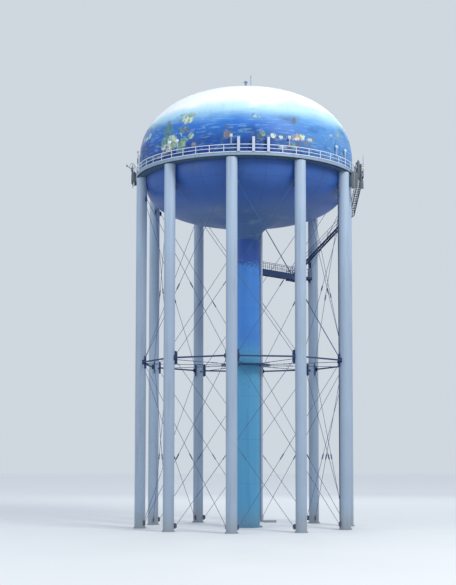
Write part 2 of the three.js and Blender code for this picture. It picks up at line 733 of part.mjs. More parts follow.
function addFlight(name, steps, foot, run) {
  const mesh = new THREE.Mesh(flightShape(steps), steelNavy);
  mesh.name = name;
  mesh.position.copy(foot);
  mesh.rotation.z = Math.atan2(run.y, run.x);
  tower.add(mesh);
}

function middleLandingShape() {
  const half = STAIR_WIDTH / 2;
  const across = (run) => new THREE.Vector3(-run.y, run.x, 0);
  const edge = (run, reach, side) => corner.clone()
    .addScaledVector(run, reach)
    .addScaledVector(across(run), side * half);
  const outline = [
    edge(lowerRun, -LANDING_HALF, 1),
    edge(lowerRun, -LANDING_HALF, -1),
    edge(upperRun, LANDING_HALF, -1),
    edge(upperRun, LANDING_HALF, 1),
  ];
  const shape = new THREE.Shape(outline.map(({ x, y }) => new THREE.Vector2(x, y)));
  const slab = new THREE.ExtrudeGeometry(shape, { depth: FLOOR_PLATE, bevelEnabled: false });
  slab.translate(0, 0, corner.z - FLOOR_PLATE);
  const armHeight = corner.z - LANDING_ARM_RADIUS - FLOOR_PLATE / 2;
  const armRoot = [COLUMN_CIRCLE * Math.sin(LANDING_COLUMN_ANGLE),
    -COLUMN_CIRCLE * Math.cos(LANDING_COLUMN_ANGLE), armHeight];
  const arm = bar([corner.x, corner.y, armHeight], armRoot, LANDING_ARM_RADIUS, ROD_SIDES);
  return cut(fuse(slab, arm), columnClearance(LANDING_COLUMN_ANGLE));
}

// Room for the balcony in a piece that meets its edge and is then turned by an angle
function balconyClearance(angle) {
  const clear = drum(BALCONY_RADIUS + SEAT, BALCONY_UNDERSIDE - 1, BALCONY_FLOOR + 1, TANK_SIDES);
  return clear.rotateZ(-angle);
}

// Platform at the head of the stair, bracketed to the balcony's edge
function topLandingShape(angle) {
  const up = new THREE.Vector3(0, 0, 1);
  const head = upperHead.clone().applyAxisAngle(up, -angle);
  const skew = Math.abs(upperRun.clone().applyAxisAngle(up, -angle).y);
  const end = head.x - SEAT - (STAIR_WIDTH / 2) * skew;
  const inner = -BALCONY_RADIUS + BALCONY_LAP;
  const slab = box(end - TOP_LANDING_LENGTH, end, -TOP_LANDING_RADIUS, inner,
    BALCONY_FLOOR - FLOOR_PLATE, BALCONY_FLOOR);
  const reach = TOP_LANDING_RADIUS - BALCONY_RADIUS - BALCONY_LAP;
  const drop = BALCONY_EDGE_DEPTH - BALCONY_LAP;
  const thick = BRACKET_THICKNESS / 2;
  const knee = plate([[0, 0], [0, -drop], [reach, -thick], [reach, 0]], -thick, thick);
  knee.rotateZ(-Math.PI / 2);
  knee.translate(end - TOP_LANDING_LENGTH / 2, inner, BALCONY_FLOOR - FLOOR_PLATE / 2);
  return cut(fuse(slab, knee), balconyClearance(angle));
}

// Cable tray up the inner side of a column
function cableTrayShape() {
  const seat = COLUMN_RADIUS * Math.cos(Math.PI / COLUMN_SIDES) + SEAT;
  const tray = box(-CABLE_TRAY_WIDTH / 2, CABLE_TRAY_WIDTH / 2, -seat - CABLE_TRAY_DEPTH, -seat,
    BASE_PLATE_THICKNESS + SEAT, CABLE_TRAY_TOP);
  return tray.rotateZ(THREE.MathUtils.degToRad(CABLE_SIDE)).translate(0, -COLUMN_CIRCLE, 0);
}

// Antennas: flat panels on the front rail, and a pole with two panels at each side
function panelShape(width, height, depth) {
  const half = width / 2;
  const chamfer = depth / 4;
  const section = new THREE.Shape([
    new THREE.Vector2(-half, 0),
    new THREE.Vector2(-half, chamfer - depth),
    new THREE.Vector2(chamfer - half, -depth),
    new THREE.Vector2(half - chamfer, -depth),
    new THREE.Vector2(half, chamfer - depth),
    new THREE.Vector2(half, 0),
  ]);
  return new THREE.ExtrudeGeometry(section, { depth: height, bevelEnabled: false });
}

function frontPanelShape() {
  const post = RAIL_RADIUS * Math.cos(POST_PITCH / 2) + RAIL_BAR / 2;
  const panel = panelShape(PANEL_WIDTH, PANEL_HEIGHT, PANEL_DEPTH);
  return panel.translate(0, -post - SEAT, BALCONY_FLOOR + PANEL_FOOT);
}

function sideAntennaShape(angle, ...extras) {
  const poleY = -BALCONY_RADIUS - POLE_OFFSET;
  const pole = bar([0, poleY, POLE_LOW], [0, poleY, POLE_HIGH], POLE_RADIUS, POLE_SIDES);
  const block = (width, depth, height, y, z) =>
    box(-width / 2, width / 2, y, y + depth, z - height / 2, z + height / 2);
  const arms = [BALCONY_EDGE_LOW + POLE_ARM, BALCONY_FLOOR - POLE_ARM].map((z) =>
    block(POLE_ARM, POLE_OFFSET + POLE_ARM, POLE_ARM, poleY, z));
  const clamps = [POLE_LOW + CLAMP_INSET, POLE_HIGH - CLAMP_INSET].map((z) =>
    block(CLAMP_WIDTH, CLAMP_DEPTH, CLAMP_HEIGHT, poleY - CLAMP_DEPTH, z));
  const radio = block(RADIO_BOX.width, RADIO_BOX.depth, RADIO_BOX.height, poleY,
    RADIO_BOX.middle);
  const foot = (POLE_LOW + POLE_HIGH - SIDE_PANEL_HEIGHT) / 2;
  const panels = [-1, 1].map((side) =>
    panelShape(SIDE_PANEL_WIDTH, SIDE_PANEL_HEIGHT, SIDE_PANEL_DEPTH)
      .rotateZ(side * SIDE_PANEL_TURN)
      .translate(side * SIDE_PANEL_SPREAD, poleY, foot));
  return cut(fuse(pole, radio, ...arms, ...panels, ...clamps, ...extras),
    balconyClearance(angle));
}

// A small dish on a raised arm, outside the pole
function dishParts() {
  const poleY = -BALCONY_RADIUS - POLE_OFFSET;
  const dishY = poleY - DISH.reach;
  return [
    bar([0, poleY, DISH_ARM_HEIGHT], [0, dishY + DISH.depth / 2, DISH_HEIGHT], DISH.arm,
      ROD_SIDES),
    bar([0, dishY, DISH_HEIGHT], [0, dishY + DISH.depth, DISH_HEIGHT], DISH.radius, VENT_SIDES),
  ];
}

// A whip aerial on a level arm, outside the pole
function whipParts() {
  const poleY = -BALCONY_RADIUS - POLE_OFFSET;
  const whipY = poleY - WHIP.reach;
  const half = WHIP.arm / 2;
  return [
    bar([0, whipY, WHIP_LOW], [0, whipY, WHIP_HIGH], WHIP.radius, ROD_SIDES),
    box(-half, half, whipY, poleY, WHIP_LOW + half, WHIP_LOW + WHIP.arm + half),
  ];
}

// The tower, piece by piece
const column = columnShape();
const strut = strutShape();
const bracePanel = bracePanelShape();
const lowerTier = panelBetween(bracePanel, 0, STRUT_HEIGHT - SEAT / 2);
const upperTier = panelBetween(bracePanel, STRUT_HEIGHT + SEAT / 2, BALCONY_UNDERSIDE - 1);
for (let k = 0; k < COLUMN_COUNT; k++) {
  const number = k + 1;
  add(`column_${number}`, column, columnPaint, k * BAY);
  add(`strut_${number}`, strut, steelNavy, (k + 0.5) * BAY);
  if (TIERED_PANELS.includes(number)) {
    add(`brace_panel_${number}_lower`, lowerTier, steelNavy, number * BAY);
    add(`brace_panel_${number}_upper`, upperTier, steelNavy, number * BAY);
  } else {
    add(`brace_panel_${number}`, bracePanel, steelNavy, number * BAY);
  }
}
add('riser', riserShape(), riserBlue);
add('riser_flare', flareShape(), bowlBlue);
add('riser_stays', riserStayShape(), steelNavy);
add('overflow_pipe', overflowShape(), columnPaint, THREE.MathUtils.degToRad(OVERFLOW_ANGLE));
add('bowl_floor', bowlFloorShape(), bowlBlue);
add('tank_bowl', bowlSideShape(), bowlBlue);
add('tank_wall', tankWallShape(), wallBlue);
add('roof_eave', roofEaveShape(), roofWhite);
add('tank_roof', roofDomeShape(), roofWhite);
add('roof_vent', roofVentShape(), roofWhite);
add('roof_mast', roofMastShape(), balconyGrey);
add('balcony_girder', balconyGirderShape(), balconyGrey);
add('balcony_deck', balconyDeckShape(), balconyGrey);
add('balcony_railing', railingShape(), balconyGrey);
add('walkway', walkwayShape(), steelNavy, WALKWAY_ANGLE);
add('walkway_rail_left', walkwayRailShape(-1), steelNavy, WALKWAY_ANGLE);
add('walkway_rail_right', walkwayRailShape(1), steelNavy, WALKWAY_ANGLE);
add('landing_lower', landingShape(), steelNavy, WALKWAY_ANGLE);
addFlight('stair_flight_lower', LOWER_STEPS, lowerFoot, lowerRun);
addFlight('stair_flight_upper', UPPER_STEPS, upperFoot, upperRun);
add('landing_middle', middleLandingShape(), steelNavy);
add('landing_top', topLandingShape(GATE_POST * POST_PITCH), steelNavy, GATE_POST * POST_PITCH);
add('cable_tray', cableTrayShape(), cableBlack, (CABLE_COLUMN - 1) * BAY);
PANEL_POSTS.forEach((post, i) => {
  add(`antenna_panel_${i + 1}`, frontPanelShape(), antennaWhite, (post + 0.5) * POST_PITCH);
});
const leftSide = THREE.MathUtils.degToRad(SIDE_ANTENNA_ANGLES.left);
add('antenna_group_left', sideAntennaShape(leftSide, ...dishParts()), cableBlack, leftSide);
const rightSide = THREE.MathUtils.degToRad(SIDE_ANTENNA_ANGLES.right);
add('antenna_group_right', sideAntennaShape(rightSide, ...whipParts()), cableBlack, rightSide);

export default tower;
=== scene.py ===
# %% [markdown]
# # Dressing a water tower
#
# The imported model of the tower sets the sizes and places, and the new pieces keep to them. This
# lesson builds what people see over it: smooth shells, rods with turnbuckles, stairs with treads,
# and paint that has stood in the weather. All lengths are metres of the 1:10 model, +Z is up, and
# -Y is the front.

import math

import bmesh
import bpy
from bmesh.types import BMEdge, BMVert
from mathutils import Matrix, Vector


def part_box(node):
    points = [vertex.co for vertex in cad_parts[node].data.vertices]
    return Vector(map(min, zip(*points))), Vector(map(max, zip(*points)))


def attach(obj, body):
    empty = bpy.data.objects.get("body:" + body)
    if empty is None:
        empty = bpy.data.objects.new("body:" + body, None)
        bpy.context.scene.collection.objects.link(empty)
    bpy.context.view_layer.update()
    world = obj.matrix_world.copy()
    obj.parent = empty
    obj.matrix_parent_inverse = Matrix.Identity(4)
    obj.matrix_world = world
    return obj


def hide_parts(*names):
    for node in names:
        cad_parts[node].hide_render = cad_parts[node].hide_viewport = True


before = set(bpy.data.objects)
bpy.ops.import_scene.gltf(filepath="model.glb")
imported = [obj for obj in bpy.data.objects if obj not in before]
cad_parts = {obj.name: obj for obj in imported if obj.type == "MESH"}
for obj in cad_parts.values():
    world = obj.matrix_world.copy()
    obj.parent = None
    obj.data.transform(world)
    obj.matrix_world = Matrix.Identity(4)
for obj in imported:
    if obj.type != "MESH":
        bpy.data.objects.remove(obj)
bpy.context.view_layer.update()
TURN = 2 * math.pi

# %% [markdown]
# ## Sizes that more than one piece needs
#
# The tower is a ring of ten columns, so most places are a radius and an angle. SEAT is the hair
# of room that a piece keeps from what carries it.

# %% Shared sizes
COLUMN_COUNT = 10
BAY = TURN / COLUMN_COUNT
COLUMN_CIRCLE = 1.460
COLUMN_RADIUS = 0.073
RISER_RADIUS = 0.1935
SEAT = 0.0003

DECK_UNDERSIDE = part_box("balcony_girder")[0].z
DECK_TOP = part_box("balcony_deck")[1].z
DECK_RADIUS = 1.540
BOWL_RIM_RADIUS = 1.4045
TANK_RADIUS = 1.490
WALL_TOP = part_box("tank_wall")[1].z
ROOF_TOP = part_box("tank_roof")[1].z
PLATE_COURSE = 0.60
print("deck", round(DECK_TOP, 4), "wall top", round(WALL_TOP, 4), "roof", round(ROOF_TOP, 4))

# %% [markdown]
# ## Small tools for shaping
#
# Nearly all of a tower is turned shapes, round bars and flat blocks. Each tool below starts from
# one of Blender's own operators, so the shapes stay closed and the code stays short. A small
# shape that is used many times is made once and stamped where it is needed.

# %% Turned shapes
TUBE_SIDES = 8


def only(kind, geom):
    """The vertices, or the edges, among what an operator gives back."""
    return [item for item in geom if isinstance(item, kind)]


def edges_of(verts):
    """The edges at some vertices, each one once and always in the same order."""
    return list(dict.fromkeys(edge for vert in verts for edge in vert.link_edges))


def round_z(angle):
    """A turn about the tower's axis. Shapes are drawn with the outside on -Y."""
    return Matrix.Rotation(angle, 4, "Z")


def turn_profile(bm, profile, steps, closed=False):
    """Spins a line of (radius, height) points into a full ring round the Z axis."""
    points = [bm.verts.new((radius, 0, height)) for radius, height in profile]
    lines = [bm.edges.new(pair) for pair in zip(points, points[1:])]
    if closed:
        lines.append(bm.edges.new((points[-1], points[0])))
    bmesh.ops.spin(bm, geom=points + lines, cent=(0, 0, 0), axis=(0, 0, 1), angle=TURN,
                   steps=steps, use_merge=True, use_duplicate=False)
    bmesh.ops.remove_doubles(bm, verts=bm.verts, dist=1e-6)


def sweep_loop(bm, corners, edges, centre, axis, angle, steps):
    """Spins a closed loop through part of a turn, and closes both ends."""
    swept = bmesh.ops.spin(bm, geom=corners + edges, cent=centre, axis=axis, angle=angle,
                           steps=steps, use_merge=False, use_duplicate=False)
    ends = edges + only(BMEdge, swept["geom_last"])
    bmesh.ops.holes_fill(bm, edges=ends, sides=len(corners))


def arc_sweep(bm, outline, start, sweep, steps):
    """Sweeps a closed outline of (radius, height) points along an arc round the Z axis."""
    turn = round_z(start)
    corners = [bm.verts.new(turn @ Vector((0, -radius, height))) for radius, height in outline]
    edges = [bm.edges.new(pair) for pair in zip(corners, corners[1:] + corners[:1])]
    sweep_loop(bm, corners, edges, (0, 0, 0), (0, 0, 1), sweep, steps)


def tube_outline(ring_radius, height, tube_radius):
    """The section of a round tube, to be swept along an arc."""
    return [(ring_radius + tube_radius * math.cos(i * TURN / TUBE_SIDES),
             height + tube_radius * math.sin(i * TURN / TUBE_SIDES)) for i in range(TUBE_SIDES)]


print("tools: turn_profile, sweep_loop, arc_sweep, tube_outline")

# %% Bars, blocks and plates
def bar(bm, start, end, radius, sides=8, end_radius=None):
    """A round bar, or a cone, between two points."""
    start, end = Vector(start), Vector(end)
    run = end - start
    place = Matrix.Translation((start + end) / 2) @ run.to_track_quat("Z", "Y").to_matrix().to_4x4()
    top = radius if end_radius is None else end_radius
    bmesh.ops.create_cone(bm, cap_ends=True, segments=sides, radius1=radius, radius2=top,
                          depth=run.length, matrix=place)


def block(bm, size, centre, turn=None, soft=0.0, rounds=1):
    """A box. With soft its edges are broken by a bevel of that width, in so many rounds."""
    place = Matrix.Translation(centre) @ (turn or Matrix.Identity(4))
    made = bmesh.ops.create_cube(bm, size=1.0, matrix=place @ Matrix.Diagonal((*size, 1.0)))
    if soft:
        bmesh.ops.bevel(bm, geom=edges_of(made["verts"]), offset=soft, affect="EDGES",
                        segments=rounds, profile=0.5, material=-1)


def slab(bm, corners, across):
    """A flat slab: a face on the given corners, pushed out by a vector."""
    face = bm.faces.new([bm.verts.new(corner) for corner in corners])
    made = bmesh.ops.extrude_face_region(bm, geom=[face])
    bmesh.ops.translate(bm, vec=across, verts=only(BMVert, made["geom"]))


def plate(bm, outline, thickness, place):
    """A slab from a few corners in its own XZ plane, as thick along Y."""
    corners = [place @ Vector((x, -thickness / 2, z)) for x, z in outline]
    slab(bm, corners, (place.to_3x3() @ Vector((0, 1, 0))).normalized() * thickness)


def hose(bm, points, radius, sides=6):
    """A bent tube through a few points, such as a cable, with closed ends."""
    points = [Vector(p) for p in points]
    loops = []
    for i, point in enumerate(points):
        ahead = points[min(i + 1, len(points) - 1)] - points[max(i - 1, 0)]
        place = Matrix.Translation(point) @ ahead.to_track_quat("Z", "Y").to_matrix().to_4x4()
        ring = bmesh.ops.create_circle(bm, cap_ends=False, radius=radius, segments=sides,
                                       matrix=place)
        loops.append(edges_of(ring["verts"]))
    for first, second in zip(loops, loops[1:]):
        bmesh.ops.bridge_loops(bm, edges=first + second)
    bmesh.ops.holes_fill(bm, edges=loops[0] + loops[-1], sides=sides)


print("tools: bar, block, slab, plate, hose")

# %% Stamps and finished pieces
SHARP_ANGLE = math.radians(35)


def small_shape(build):
    """Runs a shaping function once and keeps the result, to be stamped many times."""
    bm = bmesh.new()
    build(bm)
    mesh = bpy.data.meshes.new("small_shape")
    bm.to_mesh(mesh)
    bm.free()
    return mesh


def stamp(bm, shape, place):
    """Adds a copy of a small shape at a place."""
    placed = shape.copy()
    placed.transform(place)
    bm.from_mesh(placed)
    bpy.data.meshes.remove(placed)


def stamp_ring(bm, shape, count, first=0.0, place=Matrix.Identity(4)):
    """Stamps a shape evenly round the Z axis, the first one at a share of a step."""
    for i in range(count):
        stamp(bm, shape, round_z((i + first) * TURN / count) @ place)


def piece(name, bm, paints, stands_for=()):
    """Makes the object: smooth shading with sharp creases, its paint and its body."""
    bmesh.ops.recalc_face_normals(bm, faces=bm.faces)
    mesh = bpy.data.meshes.new(name)
    bm.to_mesh(mesh)
    bm.free()
    mesh.shade_smooth()
    mesh.set_sharp_from_angle(angle=SHARP_ANGLE)
    for paint in paints if isinstance(paints, (list, tuple)) else [paints]:
        mesh.materials.append(paint)
    thing = bpy.data.objects.new(name, mesh)
    bpy.context.scene.collection.objects.link(thing)
    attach(thing, "root")
    if stands_for:
        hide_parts(*stands_for)
    return thing


def stamped(place, name, shape, paints, stands_for=()):
    """A piece that is one small shape, or one shaping function, at its place."""
    bm = bmesh.new()
    stamp(bm, small_shape(shape) if callable(shape) else shape, place)
    return piece(name, bm, paints, stands_for)


def turned(name, profile, steps, paints, stands_for=(), closed=True):
    """A piece that is one turned profile."""
    bm = bmesh.new()
    turn_profile(bm, profile, steps, closed)
    return piece(name, bm, paints, stands_for)


def tally(things):
    """Prints how many pieces a step made, and how many faces they have."""
    faces = sum(len(thing.data.polygons) for thing in things)
    print(f"made {len(things)}, from {things[0].name} on: {faces} faces")


print("tools: small_shape, stamp, stamp_ring, piece, stamped, turned")

# %% [markdown]
# ## Writing shaders as sums
#
# A painted surface is mostly arithmetic on a few noises: where the rain ran, where dirt stays.
# A node tree hides that, so two small classes let the sums be written as Python. Wire holds a
# socket and turns +, -, * and / into Math nodes; Recipe makes every other node with one method.

# %% Wire and Recipe
class Wire:
    """A number that changes over the surface. Sums with it add Math nodes."""

    def __init__(self, recipe, socket):
        self.recipe, self.socket = recipe, socket

    def __add__(self, other):
        return self.recipe.maths("ADD", self, other)

    def __sub__(self, other):
        return self.recipe.maths("SUBTRACT", self, other)

    def __rsub__(self, other):
        return self.recipe.maths("SUBTRACT", other, self)

    def __mul__(self, other):
        return self.recipe.maths("MULTIPLY", self, other)

    def __truediv__(self, other):
        return self.recipe.maths("DIVIDE", self, other)

    def __rtruediv__(self, other):
        return self.recipe.maths("DIVIDE", other, self)

    __radd__ = __add__
    __rmul__ = __mul__


class Recipe:
    """One material's node tree."""

    def __init__(self, name):
        self.material = bpy.data.materials.new(name)
        self.material.use_nodes = True
        self.tree = self.material.node_tree
        self.tree.nodes.clear()

    def node(self, kind, settings=None, inputs=None, output=0):
        """Adds any node: its settings first, then the values or links of its sockets."""
        made = self.tree.nodes.new(kind)
        for key, value in (settings or {}).items():
            if key == "stops":
                ramp = made.color_ramp.elements
                while len(ramp) < len(value):
                    ramp.new(1.0)
                for stop, (position, colour) in zip(ramp, value):
                    stop.position, stop.color = position, colour
            else:
                setattr(made, key, value)
        for key, value in (inputs or {}).items():
            if isinstance(value, Wire):
                self.tree.links.new(value.socket, made.inputs[key])
            else:
                made.inputs[key].default_value = value
        return Wire(self, made.outputs[output])

    def maths(self, operation, *values):
        return self.node("ShaderNodeMath", {"operation": operation}, dict(enumerate(values)))


print("shader classes ready")

# %% [markdown]
# ## Words for weather
#
# These are the few measures that every paint on the tower shares: height, distance from the
# axis, cloudy noise, streaks that run down, and a soft step from 0 to 1. They all read Object
# coordinates, so neighbouring pieces weather alike and nothing slides when the camera moves.

# %% Colours
def linear(red, green, blue):
    """A colour as it is read off a screen, 0 to 255, turned into the renderer's own units."""
    def channel(value):
        share = value / 255
        return share / 12.92 if share <= 0.04045 else ((share + 0.055) / 1.055) ** 2.4
    return (channel(red), channel(green), channel(blue), 1.0)


def shade(colour, share):
    """The same colour made darker or lighter, and never brighter than white."""
    return tuple(min(1.0, channel * share) for channel in colour[:3]) + (1.0,)


print("screen grey 188 is", round(linear(188, 188, 188)[0], 3), "in the renderer")

# %% Weather measures
class Weather(Recipe):
    """A recipe with the measures that outdoor paint needs."""

    def __init__(self, name):
        super().__init__(name)
        self.place = self.node("ShaderNodeTexCoord", output="Object")
        self.height = self.axis("Z")

    def axis(self, name):
        return self.node("ShaderNodeSeparateXYZ", inputs={0: self.place}, output=name)

    def noise(self, scale, detail=3.0, stretch=(1, 1, 1), shift=(0, 0, 0)):
        placed = self.node("ShaderNodeMapping", inputs={"Vector": self.place, "Scale": stretch,
                                                        "Location": shift})
        return self.node("ShaderNodeTexNoise", {"noise_dimensions": "3D"},
                         {"Vector": placed, "Scale": scale, "Detail": detail})

    def streaks(self, scale, shift=(0, 0, 0)):
        """Noise that is long in Z, as rain leaves it."""
        return self.noise(scale, 4.0, (1, 1, 0.045), shift)

    def step(self, value, low, high):
        """0 below low, 1 above high, and smooth between."""
        return self.node("ShaderNodeMapRange", {"interpolation_type": "SMOOTHSTEP"},
                         {"Value": value, "From Min": low, "From Max": high})

    def mix(self, mask, first, second):
        """The first colour where the mask is 0, the second where it is 1."""
        return self.node("ShaderNodeMix", {"data_type": "RGBA"},
                         {0: mask, 6: first, 7: second}, output=2)

    def layers(self, colour, *coats):
        """Lays coats of (mask, colour) over a first colour, one after the other."""
        for mask, coat in coats:
            colour = self.mix(mask, colour, coat)
        return colour

    def radius(self):
        """The distance from the tower's axis."""
        flat = self.node("ShaderNodeVectorMath", {"operation": "MULTIPLY"},
                         {0: self.place, 1: (1, 1, 0)})
        return self.node("ShaderNodeVectorMath", {"operation": "LENGTH"}, {0: flat}, output=1)

    def bearing(self):
        """The angle round the tower's axis, as a share of a full turn from -0.5 to 0.5."""
        return self.maths("ARCTAN2", self.axis("X"), self.axis("Y")) / TURN

    def lines(self, value, pitch, width):
        """1 on a thin line at every pitch, and 0 between."""
        return 1 - self.step(self.maths("PINGPONG", value, pitch / 2), width * 0.3, width)

    def dust(self):
        """1 near the ground, and 0 from about 0.4 m up."""
        return 1 - self.step(self.height + self.noise(9.0) * 0.12, 0.08, 0.42)

    def surface(self, colour, roughness, bump=None, depth=0.0006, specular=0.4):
        """Closes the recipe. depth and specular are the same all over."""
        inputs = {"Base Color": colour, "Roughness": roughness, "Specular IOR Level": specular}
        if bump is not None:
            inputs["Normal"] = self.node("ShaderNodeBump", inputs={
                "Height": bump, "Strength": 0.6, "Distance": depth})
        shader = self.node("ShaderNodeBsdfPrincipled", inputs=inputs)
        end = self.tree.nodes.new("ShaderNodeOutputMaterial")
        self.tree.links.new(shader.socket, end.inputs["Surface"])
        return self.material


print("weather measures ready")

# %% [markdown]
# ## Column paint: pale satin enamel
#
# The columns are rolled steel cans, welded end to end and painted pale blue-grey. Rain carries
# dirt down from each weld and leaves long faint streaks, and the lowest metre is dusty. One
# recipe makes all such single-colour paints, with the colour and the dirt as its arguments. The
# columns also get a painted highlight, so they are lighter with height.

# %% Enamel for steel
WELD_LINE = 0.004


def enamel(name, colour, dirt, rust=0.5, shine=0.42, grime=0.35, top_highlight=0.0):
    """Outdoor painted steel: tone, rain streaks, rust, dust, and a painted highlight at the top."""
    w = Weather(name)
    tone = w.noise(2.2, 4.0)
    streak = w.step(w.streaks(26.0), 0.50, 0.72)
    fine = w.streaks(90.0, (3, 1, 0))
    worn = w.step(w.noise(1.2, 2.0, (1, 1, 0.6), (2, 8, 1)), 0.36, 0.66)
    wash = streak * (worn * 0.6 + 0.4) * grime
    weld = w.lines(w.height, PLATE_COURSE, WELD_LINE)
    spot = w.step(w.noise(38.0, 6.0, shift=(7, 2, 5)), 0.70, 0.76) * rust
    # Painted highlight: the colour is made lighter toward the top, where it stands in for light.
    painted_top_highlight = w.step(w.height + (tone - 0.5) * 0.8, 3.0, 4.5) * top_highlight
    coat = w.layers(
        w.mix(tone, shade(colour, 0.90), shade(colour, 1.10)),
        (painted_top_highlight, shade(colour, 1.35)),
        (wash, dirt),
        (w.dust() * 0.35, linear(128, 120, 104)),
        (spot * (weld * 0.8 + 0.2), linear(120, 66, 34)))
    rough = shine + wash * 0.25 + spot * 0.3 + (fine - 0.5) * 0.10
    bump = tone * 0.4 + w.noise(160.0, 2.0) * 0.25 + spot * 0.5
    return w.surface(coat, rough, bump)


# The columns get the painted highlight that lightens them toward the top.
column_paint = enamel("column_enamel", linear(147, 164, 184), linear(112, 122, 134), rust=0.6,
                      top_highlight=0.5)
navy_paint = enamel("navy_enamel", linear(24, 54, 98), linear(44, 60, 82), rust=0.8, shine=0.48)
rod_paint = enamel("rod_enamel", linear(64, 88, 124), linear(62, 74, 92), rust=0.8, shine=0.48)
deck_paint = enamel("deck_enamel", linear(132, 152, 172), linear(112, 122, 128), grime=0.6)
rail_paint = enamel("rail_enamel", linear(200, 212, 232), linear(140, 148, 158), grime=0.4)
# The soffit's dark blue is painted shade for the shadow under the deck; its greenish streaks are
# grime.
soffit_shade_paint = enamel("soffit_painted_shade", linear(60, 84, 112), linear(70, 86, 82), grime=0.7)
print("enamels:", column_paint.name, navy_paint.name, rod_paint.name, deck_paint.name,
      rail_paint.name, soffit_shade_paint.name)

# %% [markdown]
# ## The columns
#
# Each column is one profile turned about its own axis: base plate, fillet weld, shaft, and a
# weld bead at every plate course. A plain cylinder would do for the outline, but the beads
# catch the light and give the height away. Nuts on the base plate hold it to the ground. The
# riser in the middle is made the same way, so the tool takes its sizes too.

# %% Pipe on a foot plate
FILLET = 0.004
BEAD_HALF = 0.0028
BEAD_SECTION = ((-2, 0), (-1, 0), (-0.4, 0.0009), (0.4, 0.0009), (1, 0), (2, 0))
NUT_RADIUS, NUT_TOP = 0.0045, 0.0045
STUD_RADIUS, STUD_TOP = 0.0022, 0.0085


def weld_beads(radius, low, high):
    """Profile points of a wall from low to high, with a bead at each plate course.

    A plain point on each side of a bead keeps its soft shading off the long wall.
    """
    points = [(radius, low)]
    course = math.ceil((low + BEAD_HALF) / PLATE_COURSE)
    while course * PLATE_COURSE + BEAD_HALF < high:
        points += [(radius + proud, course * PLATE_COURSE + BEAD_HALF * share)
                   for share, proud in BEAD_SECTION]
        course += 1
    return points + [(radius, high)]


def anchor_nut(bm):
    bar(bm, (0, 0, 0), (0, 0, NUT_TOP), NUT_RADIUS, sides=6)
    bar(bm, (0, 0, NUT_TOP), (0, 0, STUD_TOP), STUD_RADIUS, sides=6)


def footed_pipe(bm, radius, top, sides, foot, bolts):
    """A pipe on a round plate that is bolted down.

    foot is the plate's radius, top and broken edge. bolts is the circle and the number of the
    nuts, and how far round the first one stands, in steps.
    """
    foot_radius, foot_top, edge = foot
    circle, count, first = bolts
    turn_profile(bm, [
        (0, 0), (foot_radius, 0), (foot_radius, foot_top - edge), (foot_radius - edge, foot_top),
        (radius + FILLET, foot_top), *weld_beads(radius, foot_top + FILLET, top), (0, top)], sides)
    stamp_ring(bm, small_shape(anchor_nut), count, first, Matrix.Translation((circle, 0, foot_top)))


print("weld bead at every", PLATE_COURSE, "m")

# %% Columns
COLUMN_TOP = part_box("column_1")[1].z
COLUMN_FOOT = (0.088, 0.010, 0.0012)
COLUMN_BOLTS = (0.0805, 12, 0.0)

column_form = small_shape(lambda bm: footed_pipe(bm, COLUMN_RADIUS, COLUMN_TOP, 48, COLUMN_FOOT,
                                                 COLUMN_BOLTS))
on_circle = Matrix.Translation((0, -COLUMN_CIRCLE, 0))
columns = [stamped(round_z((k - 1) * BAY) @ on_circle, f"column_shaft_{k}", column_form,
                   column_paint, [f"column_{k}"])
           for k in range(1, COLUMN_COUNT + 1)]
tally(columns)

# %% [markdown]
# ## Struts between the columns
#
# A third of the way up, a level tube joins each column to the next. At this distance it reads
# as one dark line, so a round bar between two stiffened end plates is enough.

# %% Struts
STRUT_HEIGHT = 2.248
STRUT_RADIUS = 0.011
STRUT_PLATE = (0.006, 0.024, 0.062)
STRUT_SOCKET_RADIUS = 0.0145
STRUT_SOCKET_REACH = 0.020
STRUT_RIB = (0.030, 0.003, 0.016)
STRUT_RIB_LIFT = 0.0175


def strut_shape(bm):
    y = -COLUMN_CIRCLE * math.cos(BAY / 2)
    half = COLUMN_CIRCLE * math.sin(BAY / 2) - COLUMN_RADIUS - SEAT
    plate_face, plate_middle = half - STRUT_PLATE[0], half - STRUT_PLATE[0] / 2
    bar(bm, (-plate_middle, y, STRUT_HEIGHT), (plate_middle, y, STRUT_HEIGHT), STRUT_RADIUS, 20)
    for side in (-1, 1):
        socket_end = side * (half - STRUT_SOCKET_REACH)
        block(bm, STRUT_PLATE, (side * plate_middle, y, STRUT_HEIGHT), soft=0.001)
        bar(bm, (side * plate_face, y, STRUT_HEIGHT), (socket_end, y, STRUT_HEIGHT),
            STRUT_SOCKET_RADIUS, 20, end_radius=STRUT_RADIUS)
        for lift in (-STRUT_RIB_LIFT, STRUT_RIB_LIFT):
            block(bm, STRUT_RIB, (socket_end, y, STRUT_HEIGHT + lift), soft=0.0006)


strut_form = small_shape(strut_shape)
struts = [stamped(round_z((k - 0.5) * BAY), f"strut_tube_{k}", strut_form, navy_paint,
                  [f"strut_{k}"])
          for k in range(1, COLUMN_COUNT + 1)]
tally(struts)

# %% [markdown]
# ## Crossed tie rods
#
# Thin rods cross between every column and the second one from it, in two tiers. Each rod ends
# in an eye on a pin through a gusset plate, and has a turnbuckle to tighten it, a little below
# its middle. The turnbuckle is an open frame: two bosses and two side bars. The rods are painted
# a paler blue than the plates, so each panel's mesh has two paints, picked by face.

